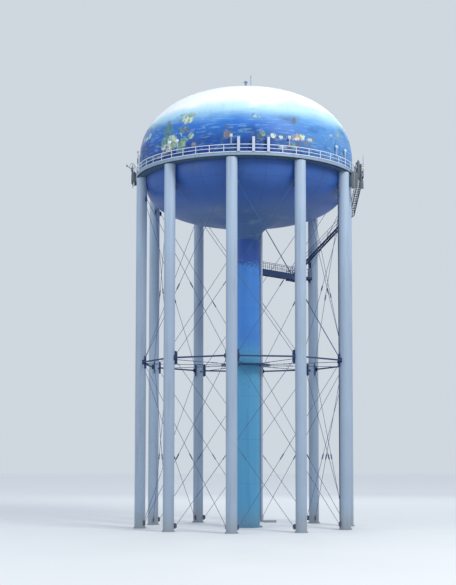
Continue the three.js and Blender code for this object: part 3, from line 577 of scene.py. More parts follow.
# %% Rod fittings
PANEL_DEPTH = COLUMN_CIRCLE * math.cos(BAY)
PANEL_HALF = COLUMN_CIRCLE * math.sin(BAY)
GUSSET = 0.006
GUSSET_REACH = 0.036
GUSSET_CORNER = 0.016
ROD_LOW, ROD_HIGH, PIN_SPREAD = 0.075, 4.495, 0.051
GUSSETS = ((ROD_LOW, 0.070), (STRUT_HEIGHT, 0.176), (ROD_HIGH, 0.070))
ROD_RADIUS = 0.0032
ROD_OFFSET = GUSSET / 2 + ROD_RADIUS * 0.8
PIN_REACH = PANEL_HALF - 0.095
PIN_RADIUS, PIN_HALF = 0.0036, 0.011
EYE_RADIUS, EYE_HALF = 0.0095, 0.0026
TIERS = ((ROD_LOW, STRUT_HEIGHT - PIN_SPREAD), (STRUT_HEIGHT + PIN_SPREAD, ROD_HIGH))
BOSS_RADIUS, BOSS_WIDE = 0.0055, 0.0085
BUCKLE_SHARE = 0.42
BUCKLE_END, BUCKLE_BOSS = 0.049, 0.033
BUCKLE_BAR, BUCKLE_BAR_OFFSET = (0.0035, 0.009, 0.070), 0.0068


def turnbuckle(bm):
    """Drawn along Z round the middle of the rod."""
    for side in (-1, 1):
        bar(bm, (0, 0, side * BUCKLE_END), (0, 0, side * BUCKLE_BOSS), BOSS_RADIUS, 8,
            end_radius=BOSS_WIDE)
        block(bm, BUCKLE_BAR, (side * BUCKLE_BAR_OFFSET, 0, 0), soft=0.001)


def rod_eye(bm):
    """Drawn with the pin on Y and the rod leaving along Z."""
    bar(bm, (0, -EYE_HALF, 0), (0, EYE_HALF, 0), EYE_RADIUS, 14)
    bar(bm, (0, 0, 0.006), (0, 0, 0.030), BOSS_RADIUS, 8, end_radius=0.0036)


turnbuckle_form, eye_form = small_shape(turnbuckle), small_shape(rod_eye)
print("turnbuckle faces:", len(turnbuckle_form.polygons), "eye:", len(eye_form.polygons))

# %% Rods and gussets
def rod(bm, low, high):
    """One tie rod with its two eyes and its turnbuckle."""
    run = high - low
    aim = run.to_track_quat("Z", "Y").to_matrix().to_4x4()
    bar(bm, low, high, ROD_RADIUS, 10)
    stamp(bm, turnbuckle_form, Matrix.Translation(low + run * BUCKLE_SHARE) @ aim)
    stamp(bm, eye_form, Matrix.Translation(low) @ aim)
    stamp(bm, eye_form, Matrix.Translation(high) @ aim @ Matrix.Rotation(math.pi, 4, "X"))


def gusset(bm, side, height, size):
    """A plate on the column's flank with its two free corners cut off."""
    face, half = PANEL_HALF - COLUMN_RADIUS - SEAT, size / 2
    free, corner = face - GUSSET_REACH, min(GUSSET_CORNER, size / 4)
    outline = [(face, -half), (face, half), (free + corner, half), (free, half - corner),
               (free, corner - half), (free + corner, -half)]
    turn = Matrix.Identity(4) if side > 0 else Matrix.Rotation(math.pi, 4, "Z")
    plate(bm, outline, GUSSET, Matrix.Translation((0, -PANEL_DEPTH, height)) @ turn)


def brace_shape(bm):
    for height, size in GUSSETS:
        for side in (-1, 1):
            gusset(bm, side, height, size)
    for face in bm.faces:
        face.material_index = 1
    for low, high in TIERS:
        for side in (-1, 1):
            y = -PANEL_DEPTH + side * ROD_OFFSET
            ends = Vector((side * PIN_REACH, y, low)), Vector((-side * PIN_REACH, y, high))
            rod(bm, *ends)
            for end in ends:
                bar(bm, (end.x, -PANEL_DEPTH - PIN_HALF, end.z),
                    (end.x, -PANEL_DEPTH + PIN_HALF, end.z), PIN_RADIUS, 8)


brace_form = small_shape(brace_shape)
print("one panel of rods:", len(brace_form.polygons), "faces")

# %% Ten panels of rods
braces = []
for panel in range(1, COLUMN_COUNT + 1):
    node = f"brace_panel_{panel}"
    stood_for = [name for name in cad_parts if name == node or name.startswith(node + "_")]
    braces.append(stamped(round_z(panel * BAY), f"tie_rods_{panel}", brace_form,
                          [rod_paint, navy_paint], stood_for))
tally(braces)

# %% [markdown]
# ## Riser paint: bands of blue water
#
# The riser is painted as deep water: royal blue under the tank, a rippled edge, clear blue, and
# teal toward the ground. The bands follow height alone, so each mask is a soft step on Z, pushed
# up and down by noise that is wider than it is tall. Two noises make the small ripples.

# %% Riser paint
def riser_colours():
    w = Weather("riser_enamel")
    level = w.height + (w.noise(9.0, 3.0, (1, 1, 2.4)) - 0.5) * 0.075
    rippled = w.step(level, 3.50, 3.56) * (1 - w.step(level, 3.66, 3.72))
    glint = w.step(w.noise(26.0, 2.0, (1, 1, 3.4)), 0.56, 0.64) * rippled
    hollow = w.step(w.noise(22.0, 2.0, (1, 1, 3.0), (4, 0, 1)), 0.56, 0.66)
    shoal = w.step(w.noise(2.4, 2.0), 0.56, 0.62)
    tone = w.noise(3.0, 4.0)
    streak = w.step(w.streaks(30.0), 0.52, 0.74)
    weld = w.lines(w.height, PLATE_COURSE, WELD_LINE)
    water = w.layers(
        w.mix(tone, linear(50, 112, 186), linear(64, 130, 204)),
        (w.step(level, 3.56, 3.66), linear(36, 78, 152)),
        (1 - w.step(level, 2.30, 2.62), linear(76, 148, 188)),
        (glint * 0.55, linear(112, 166, 218)),
        (hollow * rippled * 0.5, linear(36, 82, 150)),
        (hollow * shoal * 0.35, linear(40, 92, 160)),
        (streak * 0.16, linear(40, 60, 92)),
        (weld * 0.22, linear(30, 56, 104)),
        (w.dust() * 0.35, linear(120, 120, 112)))
    rough = 0.40 + streak * 0.14 + tone * 0.08
    return w.surface(water, rough, tone * 0.4 + w.noise(150.0, 2.0) * 0.25)


riser_paint = riser_colours()
print("riser paint:", riser_paint.name)

# %% [markdown]
# ## Riser, overflow pipe and stay ring
#
# The riser carries water up the middle. A pale overflow pipe runs down beside it, held by
# straps, and turns out just above the ground. A flat ring at strut height stays the riser to all
# ten columns with rods, so it can't sway. The bend of the pipe is a short spin of a circle.

# %% Riser
RISER_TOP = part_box("riser")[1].z
RISER_FOOT = (0.230, 0.015, 0.001)
RISER_BOLTS = (0.214, 24, 0.5)
FINE_STEPS = 96

bm = bmesh.new()
footed_pipe(bm, RISER_RADIUS, RISER_TOP, FINE_STEPS, RISER_FOOT, RISER_BOLTS)
riser = piece("riser_pipe", bm, riser_paint, ["riser"])
tally([riser])

# %% Overflow pipe
OVERFLOW_ANGLE = math.radians(97)
OVERFLOW_RADIUS = 0.018
OVERFLOW_SIDES = 24
OVERFLOW_CIRCLE = 0.217
OVERFLOW_BEND = 0.045
OVERFLOW_LOW = 0.081
OVERFLOW_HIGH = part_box("overflow_pipe")[1].z
OVERFLOW_REACH = 0.420
STRAP_HALF, STRAPS = 0.005, (0.45, 1.45, 2.70, 3.65)
JOINT_HALF, JOINTS = 0.0035, (1.2, 2.1, 3.0)


def overflow_shape(bm):
    y = -OVERFLOW_CIRCLE
    bend_top = OVERFLOW_LOW + OVERFLOW_BEND
    bar(bm, (0, y, bend_top), (0, y, OVERFLOW_HIGH), OVERFLOW_RADIUS, OVERFLOW_SIDES)
    ring = bmesh.ops.create_circle(bm, cap_ends=False, radius=OVERFLOW_RADIUS,
                                   segments=OVERFLOW_SIDES,
                                   matrix=Matrix.Translation((0, y, bend_top)))
    sweep_loop(bm, ring["verts"], edges_of(ring["verts"]), (0, y - OVERFLOW_BEND, bend_top),
               (1, 0, 0), -math.pi / 2, 10)
    bar(bm, (0, y - OVERFLOW_BEND, OVERFLOW_LOW), (0, -OVERFLOW_REACH, OVERFLOW_LOW),
        OVERFLOW_RADIUS, OVERFLOW_SIDES)
    for heights, half, proud in ((STRAPS, STRAP_HALF, 0.0012), (JOINTS, JOINT_HALF, 0.005)):
        for height in heights:
            bar(bm, (0, y, height - half), (0, y, height + half), OVERFLOW_RADIUS + proud,
                OVERFLOW_SIDES)
    for height in STRAPS:
        block(bm, (0.036, OVERFLOW_CIRCLE - RISER_RADIUS, 2 * STRAP_HALF),
              (0, -(OVERFLOW_CIRCLE + RISER_RADIUS) / 2, height), soft=0.001)


overflow = stamped(round_z(OVERFLOW_ANGLE), "overflow_drain", overflow_shape, column_paint,
                   ["overflow_pipe"])
tally([overflow])

# %% Stay ring and its rods
RING_RADIUS = 0.343
RING_HEIGHT = 2.230
RING_LOW, RING_HIGH = RING_HEIGHT - 0.010, RING_HEIGHT + 0.010
RING_LIP, RING_FLOOR = RING_RADIUS - 0.003, RING_LOW + 0.004
SPOKE_RADIUS = 0.004
SPOKE_END = -COLUMN_CIRCLE + COLUMN_RADIUS
SPOKE_BUCKLE = -0.62


def spoke(bm):
    """A rod with its turnbuckle, the lug on the column, and a rib that stiffens the ring."""
    bar(bm, (0, SPOKE_RADIUS - RING_RADIUS, RING_HEIGHT), (0, SPOKE_END, RING_HEIGHT),
        SPOKE_RADIUS, 10)
    block(bm, (0.004, 0.034, 0.026), (0, SPOKE_END + 0.017, RING_HEIGHT), soft=0.0008)
    block(bm, (0.003, RING_RADIUS - RISER_RADIUS - 0.004, 0.014),
          (0, -(RING_RADIUS + RISER_RADIUS) / 2, RING_HEIGHT - 0.001), soft=0.0006)
    stamp(bm, turnbuckle_form, Matrix.Translation((0, SPOKE_BUCKLE, RING_HEIGHT))
          @ Matrix.Rotation(math.pi / 2, 4, "X"))


bm = bmesh.new()
turn_profile(bm, [
    (RISER_RADIUS + SEAT, RING_LOW), (RING_RADIUS, RING_LOW), (RING_RADIUS, RING_HIGH),
    (RING_LIP, RING_HIGH), (RING_LIP, RING_FLOOR), (RISER_RADIUS + SEAT, RING_FLOOR)],
    FINE_STEPS, closed=True)
stamp_ring(bm, small_shape(spoke), COLUMN_COUNT)
stays = piece("stay_ring", bm, navy_paint, ["riser_stays"])
tally([stays])

# %% [markdown]
# ## Tank bottom paint
#
# The bowl is deep blue. Its plates are laid in rings and petals, and the welds between them
# show as fine lines. Toward the middle the blue turns greyer and has soft pale patches.

# %% Bowl paint
def bowl_colours():
    w = Weather("bowl_enamel")
    out = w.radius()
    cloudy = w.noise(2.4, 4.0)
    patch = w.step(w.noise(3.2, 4.0, (1, 1, 2.5), (5, 1, 2)), 0.53, 0.66)
    grey = 1 - w.step(out + (cloudy - 0.5) * 0.35, 0.62, 1.18)
    petals, rings = w.lines(w.bearing(), 1 / 20, 0.0010), w.lines(out, 0.34, 0.0035)
    weld = w.maths("MINIMUM", petals + rings, 1.0)
    streak = w.step(w.streaks(22.0), 0.56, 0.76) * w.step(out, 1.15, 1.38)
    blue = w.layers(
        w.mix(cloudy, linear(38, 76, 142), linear(52, 94, 164)),
        (grey * 0.62, linear(74, 104, 138)),
        (patch * grey * 0.45, linear(112, 138, 160)),
        (weld * 0.30, linear(28, 54, 104)),
        (streak * 0.35, linear(34, 58, 96)))
    rough = 0.42 + grey * 0.16 + patch * 0.06
    bump = cloudy * 0.5 + weld * 0.5 + w.noise(120.0, 2.0) * 0.15
    return w.surface(blue, rough, bump, depth=0.0008, specular=0.35)


bowl_paint = bowl_colours()
print("bowl paint:", bowl_paint.name)

# %% [markdown]
# ## Flare and bowl
#
# The bottom of the tank is a shell in two parts: a flare like a trumpet's bell on the riser,
# and a bowl whose section is a flattened ellipse. Both sections are short formulas, so the
# profile points are worked out first and then spun with many steps to look round.

# %% Bowl and flare
BOWL_DEPTH = 0.580
BOWL_EXPONENT = 2.45
OUTLET_RADIUS = 0.620
SHELL = 0.020
ROUND_STEPS = 160
BOWL_STEPS, FLARE_STEPS = 22, 16


def angles(last, steps):
    """Angles from 0 to the last one, in equal steps."""
    return [i / steps * last for i in range(steps + 1)]


def bowl_height(radius, inset):
    share = min(1.0, radius / (BOWL_RIM_RADIUS - inset)) ** BOWL_EXPONENT
    return DECK_UNDERSIDE - SEAT - (BOWL_DEPTH - inset) * (1 - share) ** (1 / BOWL_EXPONENT)


def bowl_line(inset):
    """The section from the outlet to the rim, this far inside the outer face."""
    reach = BOWL_RIM_RADIUS - inset - OUTLET_RADIUS
    radii = [OUTLET_RADIUS + reach * math.sin(turn) for turn in angles(math.pi / 2, BOWL_STEPS)]
    return [(radius, bowl_height(radius, inset)) for radius in radii]


def flare_line(inset):
    """The section from the riser to the outlet."""
    low = RISER_TOP + SEAT
    reach, rise = OUTLET_RADIUS - RISER_RADIUS + inset, bowl_height(OUTLET_RADIUS, 0) - low + inset
    return [(OUTLET_RADIUS - reach * math.cos(turn), low + rise * math.sin(turn))
            for turn in angles(math.pi / 2, FLARE_STEPS)]


bowl = turned("bowl_shell", bowl_line(0) + bowl_line(SHELL)[::-1], ROUND_STEPS, bowl_paint,
              ["tank_bowl", "bowl_floor"])
flare = turned("flare_shell", flare_line(0) + flare_line(SHELL)[::-1], FINE_STEPS, bowl_paint,
               ["riser_flare"])
tally([bowl, flare])

# %% [markdown]
# ## Tank paint: sea, sky and cloud
#
# The side and roof are one picture made of plain natural bands: dark water above the deck,
# lighter water with long crests, pale sky, and white cloud over the crown. Water weed grows from
# the deck, and round leaves and sandy pebbles float in loose rafts. Leaves and pebbles are cells
# of a Voronoi pattern, each with its own colour, and a large soft noise says where a raft lies.
# The rafts are thicker on one side, where the wind would drive them. Dust lies on the flat
# crown, where rain is slow to wash it off.

# %% Rafts and weed
RAFT_COLOURS = ((0.0, linear(84, 132, 134)), (0.25, linear(146, 184, 140)),
                (0.42, linear(196, 216, 176)), (0.56, linear(222, 226, 208)),
                (0.76, linear(150, 130, 116)), (1.0, linear(84, 84, 96)))
RAFTS = ((4.4, (6, 1, 4), 0.59), (7.0, (3, 8, 2), 0.58), (10.5, (4, 8, 6), 0.59))
WEED_COUNT = 84


class Pond(Weather):
    """The motifs on the tank: a few rafts of lily leaves, and weed that grows from the deck."""

    def rafts(self, below, level, scale, shift, rarity):
        cells = {"voronoi_dimensions": "3D", "feature": "F1"}
        where = {"Vector": self.place, "Scale": scale, "Randomness": 0.85}
        reach = self.node("ShaderNodeTexVoronoi", cells, where)
        own = self.node("ShaderNodeTexVoronoi", cells, where, output="Color")
        kind = self.node("ShaderNodeSeparateColor", inputs={0: own}, output="Red")
        lee = 1 - self.step(self.axis("X"), -1.1, 0.5)
        raft = self.step(self.noise(1.7, 2.0, (1, 1, 1.5), shift) + lee * 0.10,
                         rarity, rarity + 0.04)
        band = self.step(self.height, 4.90, 4.96) * (1 - self.step(level, 5.38, 5.48))
        disc = (1 - self.step(reach + (self.noise(26.0) - 0.5) * 0.22, 0.40, 0.50)) * raft * band
        leaf = self.node("ShaderNodeValToRGB", {"stops": RAFT_COLOURS}, {0: kind})
        vein = self.step(self.noise(30.0, 3.0), 0.42, 0.60)
        return self.mix(disc * 0.85, below, self.mix(vein * 0.6, leaf, linear(70, 98, 116)))

    def weed(self):
        """Upright strands that bend with a slow noise and end at uneven heights."""
        bend = (self.noise(3.0, 2.0, (1, 1, 1), (8, 8, 2)) - 0.5) * 0.040
        strand = self.lines(self.bearing() + bend, 1 / WEED_COUNT, 0.0024)
        top = 5.02 + self.noise(2.6, 3.0, (1, 1, 0.1), (3, 9, 4)) * 0.34
        patch = self.step(self.noise(1.3, 2.0, (1, 1, 0.2), (5, 3, 9)), 0.46, 0.54)
        return strand * (1 - self.step(self.height - top, -0.06, 0.0)) * patch * 0.6


print("rafts in", len(RAFTS), "sizes of leaf")

# %% Tank paint
def tank_colours():
    w = Pond("tank_enamel")
    billow = (w.noise(1.5, 5.0, (1, 1, 1.6)) - 0.5) * 0.42
    puff = (w.noise(5.0, 5.0, (1, 1, 1.2), (3, 3, 1)) - 0.5) * 0.14
    level = w.height + (w.noise(2.2, 3.0, (1, 1, 3.0), (1, 6, 2)) - 0.5) * 0.20
    cloud = w.step(w.height + billow + puff, 5.50, 5.66)
    east = w.step(w.axis("X"), 0.3, 1.3)
    crest = w.step(w.noise(7.0, 4.0, (1, 1, 6.0), (2, 2, 8)), 0.54, 0.62)
    gloom = w.step(w.noise(1.8, 3.0, (1, 1, 2.0), (6, 2, 7)), 0.50, 0.66)
    air = w.mix(w.step(w.height + billow * 0.4, 5.30, 5.60), linear(134, 186, 222),
                linear(196, 228, 242))
    scene = w.layers(
        w.mix(w.step(level, 4.90, 5.34), linear(22, 62, 140), linear(52, 112, 192)),
        (east * 0.55, linear(100, 156, 206)),
        (gloom * 0.7, linear(26, 60, 122)),
        (crest * 0.4, linear(120, 168, 214)),
        (w.step(level, 5.24, 5.50), air),
        (w.weed(), linear(52, 96, 112)))
    for scale, shift, rarity in RAFTS:
        scene = w.rafts(scene, level, scale, shift, rarity)
    white = w.mix(w.noise(3.4, 4.0), linear(232, 240, 247), linear(250, 252, 254))
    crown = 1 - w.step(w.radius(), 0.60, 1.10)
    dust = w.step(w.noise(2.6, 5.0, shift=(4, 4, 1)), 0.38, 0.62) * crown
    petals = w.lines(w.bearing(), 1 / 24, 0.0008)
    course = w.lines(w.height - DECK_TOP, WALL_TOP - DECK_TOP, 0.003) * (
        1 - w.step(w.height, WALL_TOP + 0.02, WALL_TOP + 0.03))
    weld = w.maths("MINIMUM", petals + course, 1.0)
    streak = w.step(w.streaks(18.0), 0.56, 0.78)
    scene = w.layers(
        scene,
        (cloud, white),
        (dust * 0.6, linear(180, 196, 210)),
        (weld * (crown * 0.3 + 0.10), linear(90, 120, 150)),
        (streak * 0.14, linear(96, 112, 122)))
    rough = 0.44 + streak * 0.12 + cloud * 0.08
    bump = w.noise(2.0, 2.0) * 0.6 + weld * 0.4 + w.noise(130.0, 2.0) * 0.15
    return w.surface(scene, rough, bump, depth=0.0008, specular=0.22)


tank_paint = tank_colours()
print("tank paint:", tank_paint.name)

# %% [markdown]
# ## Wall, roof, vent and mast
#
# The wall is short and upright, and the roof is an oval a little fuller than an ellipse that
# starts level with it, so the two read as one dome. A mushroom vent and a thin mast stand on the
# flat crown. The vent's cap overhangs a ring of mesh, which keeps birds out of the water, and a
# pipe with a small cap rises from it. Only the tips of the two show above the dome from below.

# %% Wall and roof
ROOF_SHELL = 0.015
CROWN_RADIUS = 0.110
SPRING = WALL_TOP + SEAT
ROOF_EXPONENT = 2.23
ROOF_STEPS = 40


def roof_line(radius, crown):
    """The section from the wall to the axis, for a wall radius and the crown's height."""
    power, rise = 2 / ROOF_EXPONENT, crown - SPRING
    last = math.acos((CROWN_RADIUS / radius) ** (1 / power))
    points = [(radius * math.cos(turn) ** power, SPRING + rise * math.sin(turn) ** power)
              for turn in angles(last, ROOF_STEPS)]
    return [*points[:-1], (CROWN_RADIUS, crown), (0, crown)]


inner_radius = TANK_RADIUS - SHELL
wall_foot = DECK_TOP + SEAT
wall = turned("wall_shell", [(inner_radius, wall_foot), (TANK_RADIUS, wall_foot),
                             (TANK_RADIUS, WALL_TOP), (inner_radius, WALL_TOP)],
              ROUND_STEPS, tank_paint, ["tank_wall"])
roof = turned("roof_shell", [*reversed(roof_line(inner_radius, ROOF_TOP - ROOF_SHELL)),
                             *roof_line(TANK_RADIUS, ROOF_TOP)],
              ROUND_STEPS, tank_paint, ["tank_roof", "roof_eave"], closed=False)
tally([wall, roof])

# %% Vent and mast
white_paint = enamel("white_enamel", linear(222, 229, 236), linear(150, 154, 156), rust=0.7)
vent_paint = enamel("vent_enamel", linear(112, 134, 164), linear(96, 104, 112), rust=0.7)
VENT_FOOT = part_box("roof_vent")[0].z
MAST_PLACE = 0.072
VENT_LINE = ((0, 0), (0.040, 0), (0.040, 0.004), (0.035, 0.004), (0.035, 0.028), (0.031, 0.029),
             (0.031, 0.044), (0.054, 0.044), (0.055, 0.048), (0.049, 0.058), (0.038, 0.067),
             (0.022, 0.0725), (0.016, 0.076), (0.016, 0.169), (0.026, 0.170), (0.027, 0.174),
             (0.026, 0.184), (0.018, 0.192), (0, 0.195))
MAST_LINE = ((0, 0), (0.011, 0), (0.011, 0.005), (0.006, 0.006), (0.0045, 0.010),
             (0.0042, 0.250), (0.0075, 0.252), (0.0075, 0.255), (0.0062, 0.256),
             (0.0062, 0.266), (0.003, 0.271), (0, 0.272))


def vent_shape(bm):
    turn_profile(bm, VENT_LINE, 48)
    mesh_bar = small_shape(lambda form: block(form, (0.003, 0.002, 0.016), (0, -0.0335, 0.036)))
    stamp_ring(bm, mesh_bar, 16)


vent = stamped(Matrix.Translation((0, 0, VENT_FOOT)), "vent_cap", vent_shape, vent_paint,
               ["roof_vent"])
mast = stamped(Matrix.Translation((MAST_PLACE, 0, VENT_FOOT)), "mast_with_lamp",
               lambda bm: turn_profile(bm, MAST_LINE, 20), vent_paint, ["roof_mast"])
tally([vent, mast])

# %% [markdown]
# ## Balcony
#
# The balcony is a box girder on the columns' heads. Its deck plate stands out past the girder
# and ends in a channel, whose two flanges throw a line of shadow. The edge is pale, and the
# girder under it gets a dark paint that is painted shade for the shadow under the deck, so from
# below the deck looks thin. Short ribs carry the overhang.
# Both sections are closed outlines, spun once; the ribs are stamped.

# %% Balcony
BALCONY_INNER = BOWL_RIM_RADIUS - SHELL
BALCONY_STEPS = 150
EDGE_LOW = DECK_TOP - 0.038
GIRDER_RADIUS = DECK_RADIUS - 0.030
POST_COUNT = 50
POST_STEP = TURN / POST_COUNT
FLANGE, FLANGE_SLOPE = 0.0040, 0.0008
PLATE_LOW = DECK_TOP - 0.006
WEB_FACE = DECK_RADIUS - 0.0042
WEB_BACK = WEB_FACE - 0.004
LIP_BACK = WEB_BACK - 0.008
GIRDER_LOW, GIRDER_HIGH = DECK_UNDERSIDE + 0.0002, PLATE_LOW - 0.0002
GIRDER_WEB, GIRDER_LIP = GIRDER_RADIUS - 0.006, GIRDER_LOW + 0.003

balcony = turned("balcony_ring", [
    (BALCONY_INNER, PLATE_LOW), (WEB_BACK, PLATE_LOW), (WEB_BACK, EDGE_LOW + FLANGE),
    (LIP_BACK, EDGE_LOW + FLANGE), (LIP_BACK, EDGE_LOW), (DECK_RADIUS, EDGE_LOW),
    (DECK_RADIUS, EDGE_LOW + FLANGE), (WEB_FACE, EDGE_LOW + FLANGE + FLANGE_SLOPE),
    (WEB_FACE, DECK_TOP - FLANGE - FLANGE_SLOPE), (DECK_RADIUS, DECK_TOP - FLANGE),
    (DECK_RADIUS, DECK_TOP), (BALCONY_INNER, DECK_TOP)],
    BALCONY_STEPS, deck_paint, ["balcony_deck"])


def balcony_rib(bm):
    reach = WEB_BACK - GIRDER_RADIUS
    block(bm, (0.003, reach, 0.024), (0, -GIRDER_RADIUS - reach / 2, PLATE_LOW - 0.012))


bm = bmesh.new()
turn_profile(bm, [(BALCONY_INNER, GIRDER_LOW), (GIRDER_RADIUS, GIRDER_LOW),
                  (GIRDER_RADIUS, GIRDER_LIP), (GIRDER_WEB, GIRDER_LIP),
                  (GIRDER_WEB, GIRDER_HIGH), (BALCONY_INNER, GIRDER_HIGH)],
             BALCONY_STEPS, closed=True)
stamp_ring(bm, small_shape(balcony_rib), 2 * POST_COUNT)
# The girder under the deck wears the dark painted shade.
girder = piece("ribbed_girder", bm, soffit_shade_paint, ["balcony_girder"])
tally([balcony, girder])

# %% [markdown]
# ## Railing and flood lamps
#
# Fifty posts stand on the balcony's edge, with a stout round top rail, a middle rail and a
# toe board. One bay is open where the stair arrives. Flood lamps stand taller than the rail at
# uneven distances. Each is a box with cooling fins in a yoke, tipped down toward the tank.

# %% Railing
RAIL_CIRCLE = 1.5262
TOP_RAIL = DECK_TOP + 0.1024
MIDDLE_RAIL = DECK_TOP + 0.0560
TOE_FACE, TOE_BACK = RAIL_CIRCLE + 0.0042, RAIL_CIRCLE + 0.0028
TOE_LOW, TOE_HIGH = DECK_TOP + 0.002, DECK_TOP + 0.013
GATE = math.radians(93.6)
RAIL_STEPS = 196


def rail_post(bm):
    block(bm, (0.018, 0.015, 0.003), (0, -RAIL_CIRCLE, DECK_TOP + 0.0018), soft=0.0006)
    block(bm, (0.0085, 0.0070, 0.101), (0, -RAIL_CIRCLE, DECK_TOP + 0.0535), soft=0.0012)
    for x in (-0.006, 0.006):
        bar(bm, (x, -RAIL_CIRCLE - 0.004, DECK_TOP + 0.0033),
            (x, -RAIL_CIRCLE - 0.004, DECK_TOP + 0.0052), 0.0016, 6)


bm = bmesh.new()
stamp_ring(bm, small_shape(rail_post), POST_COUNT, 0.5)
toe_board = [(TOE_BACK, TOE_LOW), (TOE_FACE, TOE_LOW), (TOE_FACE, TOE_HIGH), (TOE_BACK, TOE_HIGH)]
for outline in (tube_outline(RAIL_CIRCLE, TOP_RAIL, 0.0056),
                tube_outline(RAIL_CIRCLE, MIDDLE_RAIL, 0.0048), toe_board):
    arc_sweep(bm, outline, GATE + POST_STEP / 2, TURN - POST_STEP, RAIL_STEPS)
railing = piece("balcony_rails", bm, rail_paint, ["balcony_railing"])
tally([railing])

# %% Flood lamps
LAMP_PLACES = (-0.5, 3.5, 7.75, 9, 16, 22, 28, 34, 40, 44.8, 45.5)
LAMP_TOP = DECK_TOP + 0.222
FIN_COUNT, FIN_PITCH = 7, 0.0042
lamp_glass = enamel("lamp_glass", linear(186, 206, 222), linear(150, 160, 170), rust=0.0,
                    shine=0.12, grime=0.15)


def lamp_stem(bm):
    block(bm, (0.016, 0.012, 0.004), (0, -RAIL_CIRCLE, TOP_RAIL), soft=0.0008)
    bar(bm, (0, -RAIL_CIRCLE, TOP_RAIL), (0, -RAIL_CIRCLE, LAMP_TOP - 0.024), 0.0030, 10)
    block(bm, (0.037, 0.005, 0.0022), (0, -RAIL_CIRCLE, LAMP_TOP - 0.0235), soft=0.0004)
    for x in (-0.0176, 0.0176):
        block(bm, (0.0018, 0.005, 0.026), (x, -RAIL_CIRCLE, LAMP_TOP - 0.0115), soft=0.0004)


def lamp_head(bm):
    block(bm, (0.031, 0.0135, 0.032), (0, -0.0015, 0), soft=0.0035, rounds=3)
    block(bm, (0.035, 0.0035, 0.035), (0, 0.0062, 0), soft=0.0010, rounds=2)
    for i in range(FIN_COUNT):
        block(bm, (0.0012, 0.0045, 0.024), (FIN_PITCH * (i - FIN_COUNT // 2), -0.0092, 0))
    bar(bm, (-0.0165, 0, 0), (0.0165, 0, 0), 0.0028, 10)


def lamp_lens(bm):
    block(bm, (0.029, 0.0012, 0.029), (0, 0.0086, 0), soft=0.0004)


tipped = Matrix.Translation((0, -RAIL_CIRCLE, LAMP_TOP)) @ Matrix.Rotation(-math.pi / 8, 4, "X")
lamps = []
for name, build, paint, tip in (("lamp_stems", lamp_stem, rail_paint, Matrix.Identity(4)),
                                ("lamp_heads", lamp_head, white_paint, tipped),
                                ("lamp_lenses", lamp_lens, lamp_glass, tipped)):
    bm, form = bmesh.new(), small_shape(build)
    for place in LAMP_PLACES:
        stamp(bm, form, round_z((place + 0.5) * POST_STEP) @ tip)
    lamps.append(piece(name, bm, paint))
tally(lamps)

# %% [markdown]
# ## Panel antennas
#
# Three white panels hang on the front rail: smooth rounded covers with a cap at each end,
# clamped to the posts. Two dark groups stand off the balcony's edge at the sides, each a pole
# with two slanted panels. The left one carries a small dish, the right one a tall whip. Radio
# boxes and short cables fill the space behind them.

# %% Antenna finishes
radome_paint, dark_paint, cable_paint, zinc_paint, box_paint = (
    enamel(name, linear(*colour), linear(*dirt), rust, shine, grime)
    for name, colour, dirt, rust, shine, grime in (
        ("radome_white", (176, 190, 208), (140, 146, 152), 0.0, 0.36, 0.25),
        ("dark_cover", (84, 90, 104), (120, 122, 124), 0.1, 0.46, 0.35),
        ("cable_sheath", (38, 42, 50), (92, 92, 90), 0.0, 0.55, 0.5),
        ("zinc_coat", (150, 156, 162), (112, 114, 112), 0.5, 0.50, 0.5),
        ("box_grey", (104, 112, 118), (84, 92, 92), 0.2, 0.50, 0.5)))
print("finishes:", radome_paint.name, dark_paint.name, cable_paint.name, zinc_paint.name,
      box_paint.name)

# %% Front panels
PANEL_WIDTH, PANEL_DEEP, PANEL_TALL = 0.038, 0.016, 0.195
PANEL_BACK = -1.5293
PANEL_FOOT = DECK_TOP + 0.006
CAP = 0.008


def front_panel(bm):
    y, middle = PANEL_BACK - PANEL_DEEP / 2, PANEL_FOOT + PANEL_TALL / 2
    block(bm, (PANEL_WIDTH - 0.001, PANEL_DEEP - 0.001, PANEL_TALL - 0.010), (0, y, middle),
          soft=0.005, rounds=4)
    for end in (-1, 1):
        block(bm, (PANEL_WIDTH, PANEL_DEEP, CAP), (0, y, middle + end * (PANEL_TALL - CAP) / 2),
              soft=0.0035, rounds=3)


def panel_fittings(bm):
    """Two clamps, a small amplifier and the pipe that they share."""
    for lift in (0.040, 0.092):
        block(bm, (0.022, 0.0090, 0.008), (0, PANEL_BACK + 0.0035, DECK_TOP + lift), soft=0.001)
    block(bm, (0.024, 0.020, 0.040), (0, PANEL_BACK + 0.022, DECK_TOP + 0.150), soft=0.002,
          rounds=2)
    bar(bm, (0, PANEL_BACK + 0.006, DECK_TOP + 0.100), (0, PANEL_BACK + 0.006, DECK_TOP + 0.196),
        0.0030, 8)


def panel_cables(bm):
    """Each cable leaves the foot of the panel, passes under it and climbs behind it."""
    for side in (-1, 1):
        hose(bm, [(side * x, PANEL_BACK + y, DECK_TOP + lift) for x, y, lift in (
            (0.008, -0.006, 0.007), (0.008, -0.004, 0.003), (0.008, 0.010, 0.003),
            (0.008, 0.024, 0.012), (0.0048, 0.026, 0.070), (0.0048, 0.022, 0.132))], 0.0017)


antennas = []
for post in (1, 2, 3):
    place = round_z((post - 0.5) * POST_STEP)
    antennas += [
        stamped(place, f"panel_cover_{post}", front_panel, radome_paint,
                [f"antenna_panel_{post}"]),
        stamped(place, f"panel_fittings_{post}", panel_fittings, zinc_paint),
        stamped(place, f"panel_cables_{post}", panel_cables, cable_paint)]
tally(antennas)

# %% Poles and slanted covers
POLE_PLACE = -1.585
POLE_LOW, POLE_HIGH = DECK_UNDERSIDE - 0.070, DECK_UNDERSIDE + 0.240
COVER_WIDTH, COVER_DEEP = 0.030, 0.015


